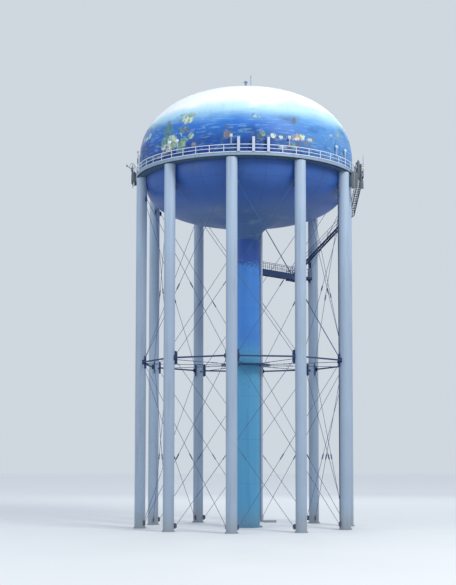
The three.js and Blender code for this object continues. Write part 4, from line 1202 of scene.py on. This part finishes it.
def side_frame(bm):
    """The pole, two arms to the balcony's edge, and two brackets for the covers."""
    bar(bm, (0, POLE_PLACE, POLE_LOW), (0, POLE_PLACE, POLE_HIGH), 0.0055, 14)
    for height in (EDGE_LOW + 0.010, DECK_TOP - 0.010):
        block(bm, (0.009, 0.044, 0.009), (0, POLE_PLACE + 0.0225, height), soft=0.001)
        block(bm, (0.020, 0.012, 0.008), (0, POLE_PLACE, height), soft=0.001)
    for height in (POLE_LOW + 0.070, POLE_HIGH - 0.070):
        block(bm, (0.040, 0.0115, 0.008), (0, POLE_PLACE - 0.0060, height), soft=0.001)
        block(bm, (0.018, 0.014, 0.010), (0, POLE_PLACE, height), soft=0.001)


def side_cover(bm, length):
    block(bm, (COVER_WIDTH, COVER_DEEP, length), (0, -COVER_DEEP / 2, 0), soft=0.0038, rounds=3)
    for end in (-1, 1):
        block(bm, (COVER_WIDTH - 0.006, 0.009, 0.004),
              (0, -COVER_DEEP / 2, end * (length / 2 + 0.001)), soft=0.0008)


def side_panels(bm, low, high):
    cover = small_shape(lambda form: side_cover(form, high - low))
    for side in (-1, 1):
        stamp(bm, cover, Matrix.Translation((side * 0.016, POLE_PLACE, (low + high) / 2))
              @ Matrix.Rotation(side * math.pi / 5, 4, "Z"))


print("side poles from", round(POLE_LOW, 3), "to", round(POLE_HIGH, 3))

# %% Radio boxes, cables, dish and whip
CUP_LINE = ((0, 0.0155), (0.006, 0.0150), (0.0075, 0.0105), (0.0150, 0.0080), (0.0190, 0.0020),
            (0.0198, 0.0), (0.0180, 0.0005), (0, 0.0015))


def side_radios(bm):
    for lift, x in ((0.210, -0.021), (0.120, 0.021)):
        block(bm, (0.026, 0.022, 0.052), (x, POLE_PLACE + 0.020, POLE_LOW + lift), soft=0.002,
              rounds=2)
    block(bm, (0.030, 0.020, 0.036), (0, POLE_PLACE + 0.034, DECK_TOP + 0.075), soft=0.002,
          rounds=2)


def side_cables(bm, low):
    for side in (-1, 1):
        hose(bm, [(side * x, POLE_PLACE + y, height) for x, y, height in (
            (0.018, -0.010, low + 0.002), (0.018, -0.008, low - 0.012),
            (0.012, 0.006, low - 0.016), (0.008, 0.014, low - 0.030),
            (0.008, 0.024, DECK_UNDERSIDE - 0.020), (0.010, 0.034, DECK_UNDERSIDE + 0.020),
            (0.010, 0.040, DECK_TOP + 0.030))], 0.0020)


def dish(bm):
    """A bent arm and a shallow cup, drawn along Z and tipped to face away from the tank."""
    reach = POLE_PLACE - 0.090
    hose(bm, [(0, POLE_PLACE, POLE_HIGH - 0.050), (0, POLE_PLACE - 0.040, POLE_HIGH - 0.030),
              (0, reach + 0.012, POLE_HIGH - 0.002)], 0.0042, 8)
    stamp(bm, small_shape(lambda form: turn_profile(form, CUP_LINE, 28)),
          Matrix.Translation((0, reach, POLE_HIGH + 0.005)) @ Matrix.Rotation(-math.pi / 2, 4, "X"))


def whip(bm):
    reach, foot = POLE_PLACE - 0.070, POLE_HIGH - 0.100
    block(bm, (0.006, 0.070, 0.006), (0, POLE_PLACE - 0.035, foot + 0.006), soft=0.001)
    bar(bm, (0, reach, foot), (0, reach, foot + 0.050), 0.0034, 10)
    bar(bm, (0, reach, foot + 0.050), (0, reach, POLE_HIGH + 0.060), 0.0028, 10, end_radius=0.0020)


print("dish rim", CUP_LINE[5][0], "m from its middle")

# %% Two side groups
groups = []
for name, degrees, extra, low, high in (("left", -83, dish, 4.785, 4.950),
                                        ("right", 84, whip, 4.785, 5.020)):
    for part, build, paint, nodes in (
            ("frame", side_frame, zinc_paint, [f"antenna_group_{name}"]),
            ("panels", lambda bm: side_panels(bm, low, high), dark_paint, []),
            ("radios", side_radios, zinc_paint, []),
            ("cables", lambda bm: side_cables(bm, low), cable_paint, []),
            ("top", extra, dark_paint, [])):
        groups.append(stamped(round_z(math.radians(degrees)), f"side_{part}_{name}", build, paint,
                              nodes))
tally(groups)

# %% [markdown]
# ### Radio boxes by the side groups
#
# The two side groups look heavy from below because more covers and radio boxes hang next to
# their poles, each on its own short pipe. They could be placed one by one, but a table of places
# and sizes says the same in fewer words: each row is the bearing in degrees, the distance from
# the axis, the lowest and highest point, the width along the rail and the depth.

# %% Boxes on pipes
BOX_ROWS = {
    "left": ((-80, 1.565, 4.790, 4.930, 0.044, 0.026), (-86, 1.562, 4.780, 4.945, 0.040, 0.024),
             (-84.5, 1.600, 4.800, 4.915, 0.034, 0.022), (-81, 1.598, 4.950, 5.000, 0.026, 0.020)),
    "right": ((88.5, 1.558, 4.800, 5.030, 0.050, 0.020), (90.5, 1.588, 4.805, 5.015, 0.044, 0.022),
              (87, 1.618, 4.790, 5.000, 0.036, 0.016), (75, 1.572, 4.590, 4.810, 0.050, 0.044),
              (79.5, 1.580, 4.620, 4.830, 0.040, 0.034), (91, 1.620, 4.680, 4.785, 0.054, 0.050),
              (88, 1.640, 4.880, 4.906, 0.018, 0.018))}
PIPE = 0.0042
ARM = 0.008
EDGE_MIDDLE = (EDGE_LOW + DECK_TOP) / 2


def hung_box(bm, radius, low, high, width, depth):
    """A box with cooling ribs, on a pipe that an arm holds to the balcony's edge."""
    back = radius - depth / 2 - PIPE
    block(bm, (width, depth, high - low), (0, -radius, (low + high) / 2), soft=0.0022, rounds=2)
    for share in (0.25, 0.5, 0.75):
        block(bm, (width + 0.003, depth * 0.7, 0.003), (0, -radius, low + (high - low) * share),
              soft=0.0006)
    bar(bm, (0, -back, min(low, EDGE_MIDDLE - 0.012)), (0, -back, max(high, EDGE_MIDDLE + 0.012)),
        PIPE, 10)
    block(bm, (ARM, back - WEB_FACE, ARM), (0, -(back + WEB_FACE) / 2, EDGE_MIDDLE))


boxes = []
for name, rows in BOX_ROWS.items():
    bm = bmesh.new()
    for degrees, *sizes in rows:
        stamp(bm, small_shape(lambda form: hung_box(form, *sizes)), round_z(math.radians(degrees)))
    boxes.append(piece(f"radio_boxes_{name}", bm, box_paint))
tally(boxes)

# %% [markdown]
# ### Two small aerials
#
# Two short loops of stiff wire stand by the left group, and a thin mast with two sleeves rises
# from the rail. A loop is a bent tube through points on an oval. A curve with a round section
# would do as well, but the hose tool is there already and gives a mesh at once.

# %% Loops and a mast by the left group
LOOPS = ((1.588, 5.000, 0.034), (1.570, 4.985, 0.024))
LOOP_RISE, LOOP_POINTS = 0.046, 14
MAST_CIRCLE = 1.5345
SLEEVES = ((5.105, 5.180, 0.0105), (5.262, 5.284, 0.0075))


def wire_loops(bm):
    for radius, height, reach in LOOPS:
        hose(bm, [(0, -radius - reach * math.cos(turn), height + LOOP_RISE * math.sin(turn))
                  for turn in angles(TURN, LOOP_POINTS)], 0.0030, 8)
    bar(bm, (0, -LOOPS[0][0], 4.940), (0, -LOOPS[0][0], 5.046), 0.0024, 8)


def rail_mast(bm):
    bar(bm, (0, -MAST_CIRCLE, DECK_TOP + 0.060), (0, -MAST_CIRCLE, 5.290), 0.0030, 10)
    for low, high, radius in SLEEVES:
        bar(bm, (0, -MAST_CIRCLE, low), (0, -MAST_CIRCLE, high), radius, 14)


aerials = [stamped(round_z(math.radians(-78)), "wire_loops", wire_loops, zinc_paint),
           stamped(round_z(math.radians(-88)), "rail_mast", rail_mast, dark_paint)]
tally(aerials)

# %% [markdown]
# ### Cables down a column
#
# The cables of the antennas come down one column in a shallow tray. Three straight bars and a
# row of clips are enough, because the tray lies close to the shaft and only its shadow and the
# even spacing of the clips can be seen from the ground.

# %% Cable run on a column
TRAY_COLUMN = 3
TRAY_BEARING = math.radians(-153)
TRAY_LOW, TRAY_HIGH = 0.0105, 4.600
TRAY_SEAT, TRAY_PLATE = -0.0728, 0.0012
CABLE_PLACE = TRAY_SEAT - 0.0050
CLIP_COUNT, CLIP_LOW, CLIP_PITCH = 30, 0.09, 0.154


def cable_run(bm):
    block(bm, (0.0215, TRAY_PLATE, TRAY_HIGH - TRAY_LOW),
          (0, TRAY_SEAT - TRAY_PLATE / 2, (TRAY_HIGH + TRAY_LOW) / 2))
    for x in (-0.0065, 0, 0.0065):
        bar(bm, (x, CABLE_PLACE, TRAY_LOW + 0.002), (x, CABLE_PLACE, TRAY_HIGH), 0.0029, 8)


def cable_clips(bm):
    for i in range(CLIP_COUNT):
        block(bm, (0.0218, 0.0088, 0.0045), (0, TRAY_SEAT - 0.0048, CLIP_LOW + i * CLIP_PITCH),
              soft=0.0008)


place = round_z((TRAY_COLUMN - 1) * BAY) @ on_circle @ round_z(TRAY_BEARING)
runs = [stamped(place, "cable_run", cable_run, cable_paint, ["cable_tray"]),
        stamped(place, "cable_clips", cable_clips, zinc_paint)]
tally(runs)

# %% [markdown]
# ## Gratings and guard rails
#
# The walkway, the landings and the stair share two things: an open grating to stand on, and a
# guard rail. A grating is thin bars on edge with cross rods; a guard rail is posts, a top rail and
# a middle rail between two floor points, and it may slope. Both are drawn once as tools.

# %% Grating and guard tools
GRATE_PITCH, GRATE_CROSS = 0.010, 0.030
GRATE_BAR = (0.0014, 0.0065)
GRATE_ROD = (0.0014, 0.0022)
MIDDLE_SHARE = 0.52
POST_RADIUS, TOP_RAIL_RADIUS, MIDDLE_RAIL_RADIUS, PICKET_RADIUS = 0.0026, 0.0030, 0.0020, 0.0011


def shares(count):
    """Numbers from 0 to 1 in equal steps."""
    return [i / count for i in range(count + 1)]


def grating(bm, low, high, top):
    """Bars along X and cross rods along Y, between two (x, y) corners."""
    (x0, y0), (x1, y1) = low, high
    for share in shares(max(2, round((y1 - y0) / GRATE_PITCH))):
        y = y0 + 0.0008 + (y1 - y0 - 0.0016) * share
        block(bm, (x1 - x0, *GRATE_BAR), ((x0 + x1) / 2, y, top - 0.0034))
    for share in shares(max(2, round((x1 - x0) / GRATE_CROSS))):
        x = x0 + 0.001 + (x1 - x0 - 0.002) * share
        block(bm, (GRATE_ROD[0], y1 - y0, GRATE_ROD[1]), (x, (y0 + y1) / 2, top - 0.0012))


def guard(bm, start, end, height, pitch, pickets=0.0):
    """Posts, top rail and middle rail from start to end, and thin upright bars if asked."""
    start, end = Vector(start), Vector(end)
    run, up = end - start, Vector((0, 0, height))
    for share in shares(max(1, round(run.length / pitch))):
        bar(bm, start + run * share, start + run * share + up, POST_RADIUS, 8)
    bar(bm, start + up, end + up, TOP_RAIL_RADIUS, 10)
    bar(bm, start + up * MIDDLE_SHARE, end + up * MIDDLE_SHARE, MIDDLE_RAIL_RADIUS, 8)
    if pickets:
        for share in shares(round(run.length / pickets))[1:-1]:
            bar(bm, start + run * share, start + run * share + up, PICKET_RADIUS, 6)


print("tools: grating, guard")

# %% [markdown]
# ## Walkway and its landing
#
# A level walkway leads out from the riser between two deep side girders, braced from below. It
# ends at a landing that hangs on a column. The walkway's guard rails have close upright bars, so
# the guard tool is asked for them here.

# %% Walkway
WALKWAY_ANGLE = 4 * BAY
WALKWAY_FLOOR = 3.605
WALKWAY_HALF = 0.045
WALKWAY_DEPTH = 0.073
WALKWAY_NEAR, WALKWAY_FAR = -0.1945, -1.2046
WALKWAY_LENGTH, WALKWAY_MIDDLE = WALKWAY_NEAR - WALKWAY_FAR, (WALKWAY_NEAR + WALKWAY_FAR) / 2
GIRDER_PLATE, GIRDER_FLANGE = 0.0018, (0.011, 0.0022)
BEAM_COUNT, BEAM_INSET = 8, 0.004
BRACE_REACH, BRACE_LEVEL = 0.040, WALKWAY_FLOOR - 0.064
GUARD_HEIGHT = 0.111


def walkway_shape(bm):
    level = WALKWAY_FLOOR - WALKWAY_DEPTH / 2
    width, thick = GIRDER_FLANGE
    for side in (-1, 1):
        block(bm, (GIRDER_PLATE, WALKWAY_LENGTH, WALKWAY_DEPTH),
              (side * (WALKWAY_HALF - GIRDER_PLATE / 2), WALKWAY_MIDDLE, level))
        for end in (-1, 1):
            block(bm, (width, WALKWAY_LENGTH, thick),
                  (side * (WALKWAY_HALF - width / 2), WALKWAY_MIDDLE,
                   level + end * (WALKWAY_DEPTH - thick) / 2))
    mat = small_shape(lambda form: grating(
        form, (WALKWAY_FAR, 0.002 - WALKWAY_HALF), (WALKWAY_NEAR, WALKWAY_HALF - 0.002),
        WALKWAY_FLOOR - 0.0002))
    stamp(bm, mat, Matrix.Rotation(math.pi / 2, 4, "Z"))
    places = [WALKWAY_FAR + BEAM_INSET + (WALKWAY_LENGTH - 2 * BEAM_INSET) * share
              for share in shares(BEAM_COUNT)]
    for y in places:
        block(bm, (2 * WALKWAY_HALF - 0.004, 0.003, 0.026), (0, y, WALKWAY_FLOOR - 0.021))
    for i, (y, after) in enumerate(zip(places, places[1:])):
        x = BRACE_REACH if i % 2 else -BRACE_REACH
        bar(bm, (x, y, BRACE_LEVEL), (-x, after, BRACE_LEVEL), 0.0024, 6)


def walkway_guard(bm, side):
    x = side * (WALKWAY_HALF - 0.006)
    guard(bm, (x, WALKWAY_FAR + 0.003, WALKWAY_FLOOR), (x, WALKWAY_NEAR - 0.0085, WALKWAY_FLOOR),
          GUARD_HEIGHT, 0.125, pickets=0.0417)
    block(bm, (0.0014, WALKWAY_LENGTH - 0.012, 0.010), (x, WALKWAY_MIDDLE, WALKWAY_FLOOR + 0.0062))


paths = [stamped(round_z(WALKWAY_ANGLE), name, build, navy_paint, [node])
         for name, build, node in (
             ("walkway_deck", walkway_shape, "walkway"),
             ("walkway_guard_left", lambda bm: walkway_guard(bm, -1), "walkway_rail_left"),
             ("walkway_guard_right", lambda bm: walkway_guard(bm, 1), "walkway_rail_right"))]
tally(paths)

# %% Lower landing
LANDING_LOW = (-0.045, -1.3858)
LANDING_HIGH = (0.315, -1.2053)
LANDING_JOISTS = (0.075, 0.195)
GUARD_FROM_WALKWAY, GUARD_FROM_COLUMN = 0.052, 0.084
KNEE_REACH, KNEE_DROP = 0.060, 0.075
RAIL_INSET = 0.004


def landing_shape(bm):
    (x0, y0), (x1, y1) = LANDING_LOW, LANDING_HIGH
    middle, floor = (x0 + x1) / 2, WALKWAY_FLOOR
    grating(bm, (x0 + 0.002, y0 + 0.002), (x1 - 0.002, y1 - 0.002), floor - 0.0002)
    for y, inward in ((y0, 1), (y1, -1)):
        block(bm, (x1 - x0, 0.002, 0.035), (middle, y + inward * 0.001, floor - 0.0175))
        block(bm, (x1 - x0, 0.010, 0.002), (middle, y + inward * 0.005, floor - 0.034))
    for x in (x0 + 0.001, *LANDING_JOISTS, x1 - 0.001):
        block(bm, (0.002, y1 - y0 - 0.002, 0.030), (x, (y0 + y1) / 2, floor - 0.0155))
    west, east, south, north = (x0 + RAIL_INSET, x1 - RAIL_INSET, y0 + RAIL_INSET,
                                y1 - RAIL_INSET)
    for start, end, pitch in (((GUARD_FROM_WALKWAY, north), (east, north), 0.13),
                              ((east, north), (east, south), 0.10),
                              ((east, south), (GUARD_FROM_COLUMN, south), 0.13),
                              ((west, south), (west, north), 0.10)):
        guard(bm, (*start, floor), (*end, floor), GUARD_HEIGHT, pitch)


def landing_knee(bm):
    """The bracket under the landing: a plate on edge, and a flange along its slope."""
    reach, bottom = -COLUMN_CIRCLE + COLUMN_RADIUS + 0.0004, WALKWAY_FLOOR - 0.009
    plate(bm, [(0, -0.035), (0, -KNEE_DROP), (0.010, -KNEE_DROP), (KNEE_REACH, -0.020),
               (KNEE_REACH, -0.008), (0.0, -0.008)], 0.004,
          Matrix.Translation((0, reach, bottom)) @ Matrix.Rotation(math.pi / 2, 4, "Z"))
    slope = Vector((0, KNEE_REACH - 0.010, KNEE_DROP - 0.020))
    block(bm, (0.012, slope.length, 0.002),
          (0, reach + 0.010 + slope.y / 2, bottom - KNEE_DROP + slope.z / 2 + 0.0005),
          Matrix.Rotation(math.atan2(slope.z, slope.y), 4, "X"))


bm = bmesh.new()
for build in (landing_shape, landing_knee):
    stamp(bm, small_shape(build), round_z(WALKWAY_ANGLE))
landing = piece("landing_walkway_end", bm, navy_paint, ["landing_lower"])
tally([landing])

# %% [markdown]
# ## Stair
#
# The stair leaves the landing, turns at a small platform held by a column, and climbs on to the
# balcony. Each flight has two stringers made as channels, single treads with a lip at the front,
# and a guard rail on both sides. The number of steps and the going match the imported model.

# %% Stair places
LOWER_STEPS, UPPER_STEPS = 41, 21
LOWER_START, TURN_PLACE, UPPER_END = (1.3207, 156), (1.605, 115.3), (1.608, 95)
RISE, GOING = (DECK_TOP - WALKWAY_FLOOR) / (LOWER_STEPS + UPPER_STEPS), 0.025
STAIR_HALF = 0.035
TURN_HALF = 0.040


def polar(radius, degrees, height):
    """The point at a distance from the axis, a bearing from the front, and a height."""
    return round_z(math.radians(degrees)) @ Vector((0, -radius, height))


def column_axis(number, height):
    return polar(COLUMN_CIRCLE, math.degrees(BAY) * (number - 1), height)


turn_height = WALKWAY_FLOOR + LOWER_STEPS * RISE
stair_turn = polar(*TURN_PLACE, turn_height)
lower_run = (stair_turn - polar(*LOWER_START, turn_height)).normalized()
upper_run = (polar(*UPPER_END, turn_height) - stair_turn).normalized()
lower_foot = stair_turn - lower_run * (TURN_HALF + SEAT + LOWER_STEPS * GOING)
lower_foot.z = WALKWAY_FLOOR + SEAT
upper_foot = stair_turn + upper_run * TURN_HALF * 0.6 + Vector((0, 0, SEAT))
print("stair from", [round(x, 3) for x in lower_foot],
      "turns at", [round(x, 3) for x in stair_turn])

# %% Flights
STRINGER = 0.030
STRINGER_FOOT = 0.018
FLIGHT_RAIL = 0.0995
END_POST = 0.015
TREAD_WIDTH = 2 * STAIR_HALF - 0.005


def flight_shape(bm, steps):
    run, rise = steps * GOING, steps * RISE
    tilt = (rise - STRINGER_FOOT) / run
    lower_edge = (STRINGER - STRINGER_FOOT) / (rise / run)
    outline = [(0, 0), (lower_edge, 0), (run, rise - STRINGER), (run, rise), (0, STRINGER_FOOT)]
    pitch = (run - 2 * END_POST) / (1 + round(steps / 8)) / math.cos(math.atan(tilt))
    for side in (-1, 1):
        plate(bm, outline, 0.002, Matrix.Translation((0, side * (STAIR_HALF - 0.001), 0)))
        for (x0, z0), (x1, z1), lift in ((outline[4], outline[3], -0.0010),
                                         (outline[1], outline[2], 0.0010)):
            block(bm, (math.hypot(x1 - x0, z1 - z0) - 0.002, 0.007, 0.0018),
                  ((x0 + x1) / 2, side * (STAIR_HALF - 0.0035), (z0 + z1) / 2 + lift),
                  Matrix.Rotation(-math.atan2(z1 - z0, x1 - x0), 4, "Y"))
        along = [Vector((x, side * (STAIR_HALF - 0.0025), STRINGER_FOOT + x * tilt))
                 for x in (0.006, END_POST, run - END_POST, run - 0.006)]
        guard(bm, along[1], along[2], FLIGHT_RAIL, pitch)
        for post, tip in ((along[1], along[0]), (along[2], along[3])):
            for share, radius in ((1.0, TOP_RAIL_RADIUS), (MIDDLE_SHARE, MIDDLE_RAIL_RADIUS)):
                up = Vector((0, 0, FLIGHT_RAIL * share))
                bar(bm, post + up, tip + up, radius, 10)
    for i in range(1, steps):
        x, top = i * GOING, i * RISE
        block(bm, (GOING + 0.001, TREAD_WIDTH, 0.0024), (x + GOING / 2, 0, top - 0.0014))
        block(bm, (0.0016, TREAD_WIDTH, 0.0058), (x + 0.0004, 0, top - 0.0032))


flights = [stamped(Matrix.Translation(foot) @ round_z(math.atan2(run.y, run.x)), f"stair_{level}",
                   lambda bm: flight_shape(bm, steps), navy_paint,
                   [f"stair_flight_{level}"])
           for level, steps, foot, run in (("lower", LOWER_STEPS, lower_foot, lower_run),
                                           ("upper", UPPER_STEPS, upper_foot, upper_run))]
tally(flights)

# %% [markdown]
# ### Bracket and landings
#
# One column carries the middle of the lower flight on a bracket, and the next one carries the
# platform where the stair turns. The last landing hangs on the balcony's edge. Their places
# follow from where the runs pass the columns, so they are worked out and not typed in.

# %% Bracket under the lower flight
across = Vector((-lower_run.y, lower_run.x, 0))
column_five = column_axis(5, 0)
along = (column_five - lower_foot).dot(lower_run)
gap = abs((column_five - lower_foot).dot(across)) - COLUMN_RADIUS
tilt = (LOWER_STEPS * RISE - STRINGER_FOOT) / (LOWER_STEPS * GOING)
under_flight = lower_foot.z + STRINGER_FOOT + (along - 0.004) * tilt - STRINGER
toward = lower_foot + lower_run * along - column_five


def flight_bracket(bm):
    """Drawn from the column's axis toward the flight on +X."""
    face = COLUMN_RADIUS + 0.0002
    reach = gap + 2 * STAIR_HALF
    block(bm, (0.004, 0.030, 0.084), (face + 0.002, 0, -0.040), soft=0.0008)
    plate(bm, [(face + 0.004, 0), (face + gap + 0.008, 0), (face + gap + 0.008, -0.010),
               (face + 0.010, -0.078), (face + 0.004, -0.078)], 0.005, Matrix.Identity(4))
    block(bm, (reach, 0.012, 0.006), (face + 0.004 + reach / 2, 0, -0.004))


bracket = stamped(Matrix.Translation((column_five.x, column_five.y, under_flight))
                  @ round_z(math.atan2(toward.y, toward.x)),
                  "flight_bracket", flight_bracket, navy_paint)
tally([bracket])

# %% Landing at the turn
FASCIA = (0.002, 0.0088)
FASCIA_DROP = 0.0045
ARM_DROP, ARM_RADIUS = 0.0205, 0.0125


def edge_of(run, reach, side):
    return stair_turn + run * reach + Vector((-run.y, run.x, 0)) * side * STAIR_HALF


def turn_landing(bm):
    """The platform between the ends of both flights, on an arm from its column."""
    corners = [edge_of(lower_run, -TURN_HALF, 1), edge_of(lower_run, -TURN_HALF, -1),
               edge_of(upper_run, TURN_HALF, -1), edge_of(upper_run, TURN_HALF, 1)]
    slab(bm, [corner - Vector((0, 0, 0.004)) for corner in corners], (0, 0, 0.0038))
    for first, second in zip(corners, corners[1:] + corners[:1]):
        run = second - first
        block(bm, (run.length, *FASCIA), (first + second) / 2 - Vector((0, 0, FASCIA_DROP)),
              round_z(math.atan2(run.y, run.x)))
    arm = stair_turn - Vector((0, 0, ARM_DROP))
    reach = column_axis(4, arm.z) - arm
    bar(bm, arm, arm + reach * (1 - (COLUMN_RADIUS + 0.0004) / reach.length), ARM_RADIUS, 16)
    guard(bm, corners[0], corners[3], GUARD_HEIGHT, 0.06)


middle_landing = stamped(Matrix.Identity(4), "landing_turn", turn_landing, navy_paint,
                         ["landing_middle"])
tally([middle_landing])

# %% Landing at the gate
TOP_LENGTH, TOP_OUT, TOP_IN = 0.125, -1.645, -1.534
TOP_GUARD = 0.104
TOP_CARRIER = ((0, 0), (0.094, 0), (0.094, -0.006), (0.008, -0.027), (0, -0.027))

head = round_z(-GATE) @ (upper_foot + upper_run * UPPER_STEPS * GOING)
skew = abs((round_z(-GATE) @ upper_run).y)
top_end = head.x - SEAT - STAIR_HALF * skew


def top_landing(bm):
    """The plate that joins the stair to the gate, on two carriers from the balcony's edge."""
    x0, x1 = top_end - TOP_LENGTH, top_end
    x, y, depth = (x0 + x1) / 2, (TOP_IN + TOP_OUT) / 2, TOP_IN - TOP_OUT
    block(bm, (TOP_LENGTH, depth, 0.003), (x, y, DECK_TOP - 0.0016))
    for end in (x0 + 0.001, x1 - 0.001):
        block(bm, (FASCIA[0], depth, FASCIA[1]), (end, y, DECK_TOP - FASCIA_DROP))
    block(bm, (TOP_LENGTH, *FASCIA), (x, TOP_OUT + 0.001, DECK_TOP - FASCIA_DROP))
    for end in (x0 + 0.020, x1 - 0.020):
        plate(bm, TOP_CARRIER, 0.003,
              Matrix.Translation((end, -DECK_RADIUS - 0.0006, DECK_TOP - 0.009))
              @ Matrix.Rotation(-math.pi / 2, 4, "Z"))
    outer = TOP_OUT + RAIL_INSET
    west, east = x0 + RAIL_INSET, x1 - RAIL_INSET
    guard(bm, (west, TOP_IN - 0.010, DECK_TOP), (west, outer, DECK_TOP), TOP_GUARD, 0.10)
    guard(bm, (west, outer, DECK_TOP), (east, outer, DECK_TOP), TOP_GUARD, 0.12)


gate_landing = stamped(round_z(GATE), "landing_balcony", top_landing, navy_paint,
                       ["landing_top"])
tally([gate_landing])

# %% [markdown]
# ## Floor, light and camera
#
# The tower stands on a plain pale floor, in soft daylight from a large panel high on the right
# and weaker ones on the left and behind. The camera is where the photograph was taken from: low, a
# little to the right of the front, and tilted up. Its lens shift keeps the tower off the middle of
# the picture, as it is in the photograph.

# %% Floor and sky
FLOOR_RADIUS = 60.0
SKY_COLOUR, SKY_STRENGTH = (0.80, 0.87, 0.95, 1.0), 0.78


def floor_paint():
    w = Weather("pale_floor")
    tone = w.noise(0.6, 4.0)
    colour = w.layers(w.mix(tone, linear(214, 217, 220), linear(222, 225, 228)),
                      (w.step(w.radius(), 4.0, 20.0), linear(248, 250, 252)))
    return w.surface(colour, tone * 0.1 + 0.75, specular=0.5)


floor_mesh = small_shape(lambda bm: bmesh.ops.create_circle(
    bm, cap_ends=True, radius=FLOOR_RADIUS, segments=96))
floor_mesh.materials.append(floor_paint())
floor = bpy.data.objects.new("floor", floor_mesh)
bpy.context.scene.collection.objects.link(floor)

world = bpy.data.worlds.new("sky")
bpy.context.scene.world = world
world.use_nodes = True
sky = world.node_tree.nodes["Background"]
sky.inputs["Color"].default_value = SKY_COLOUR
sky.inputs["Strength"].default_value = SKY_STRENGTH
print("floor and sky ready")

# %% Lights
LIGHTS = (("key", (9.0, -9.0, 12.5), 4.0, (5.0, 5.0), 1500, (1.0, 0.975, 0.94)),
          ("fill", (-10.0, -8.0, 6.0), 3.0, (7.0, 6.0), 300, (0.90, 0.95, 1.0)),
          ("back", (0.0, 12.0, 9.0), 3.5, (8.0, 5.0), 350, (0.92, 0.96, 1.0)))

for name, place, aim_height, size, power, colour in LIGHTS:
    lamp = bpy.data.lights.new(name, "AREA")
    lamp.shape = "RECTANGLE"
    lamp.size, lamp.size_y = size
    lamp.energy, lamp.color = power, colour
    light = bpy.data.objects.new(name, lamp)
    light.location = place
    light.rotation_euler = (Vector((0, 0, aim_height)) - light.location).to_track_quat(
        "-Z", "Y").to_euler()
    bpy.context.scene.collection.objects.link(light)
print("lights:", [name for name, *_ in LIGHTS])

# %% Camera
CAMERA_DISTANCE = 16.92
CAMERA_HEIGHT = 0.934
CAMERA_TURN = math.radians(7.08)
CAMERA_TILT = math.radians(4.223)
CAMERA_LENS = 75.24
CAMERA_SHIFT = (-0.0304, 0.1303)

view = bpy.data.cameras.new("camera")
view.sensor_width = 36
view.lens = CAMERA_LENS
view.shift_x, view.shift_y = CAMERA_SHIFT
camera = bpy.data.objects.new("camera", view)
camera.location = (CAMERA_DISTANCE * math.sin(CAMERA_TURN),
                   -CAMERA_DISTANCE * math.cos(CAMERA_TURN), CAMERA_HEIGHT)
ahead = Vector((-math.sin(CAMERA_TURN) * math.cos(CAMERA_TILT),
                math.cos(CAMERA_TURN) * math.cos(CAMERA_TILT), math.sin(CAMERA_TILT)))
camera.rotation_euler = ahead.to_track_quat("-Z", "Y").to_euler()
bpy.context.scene.collection.objects.link(camera)
bpy.context.scene.camera = camera
bpy.context.scene.view_settings.view_transform = "Standard"
print("camera at", [round(x, 3) for x in camera.location])
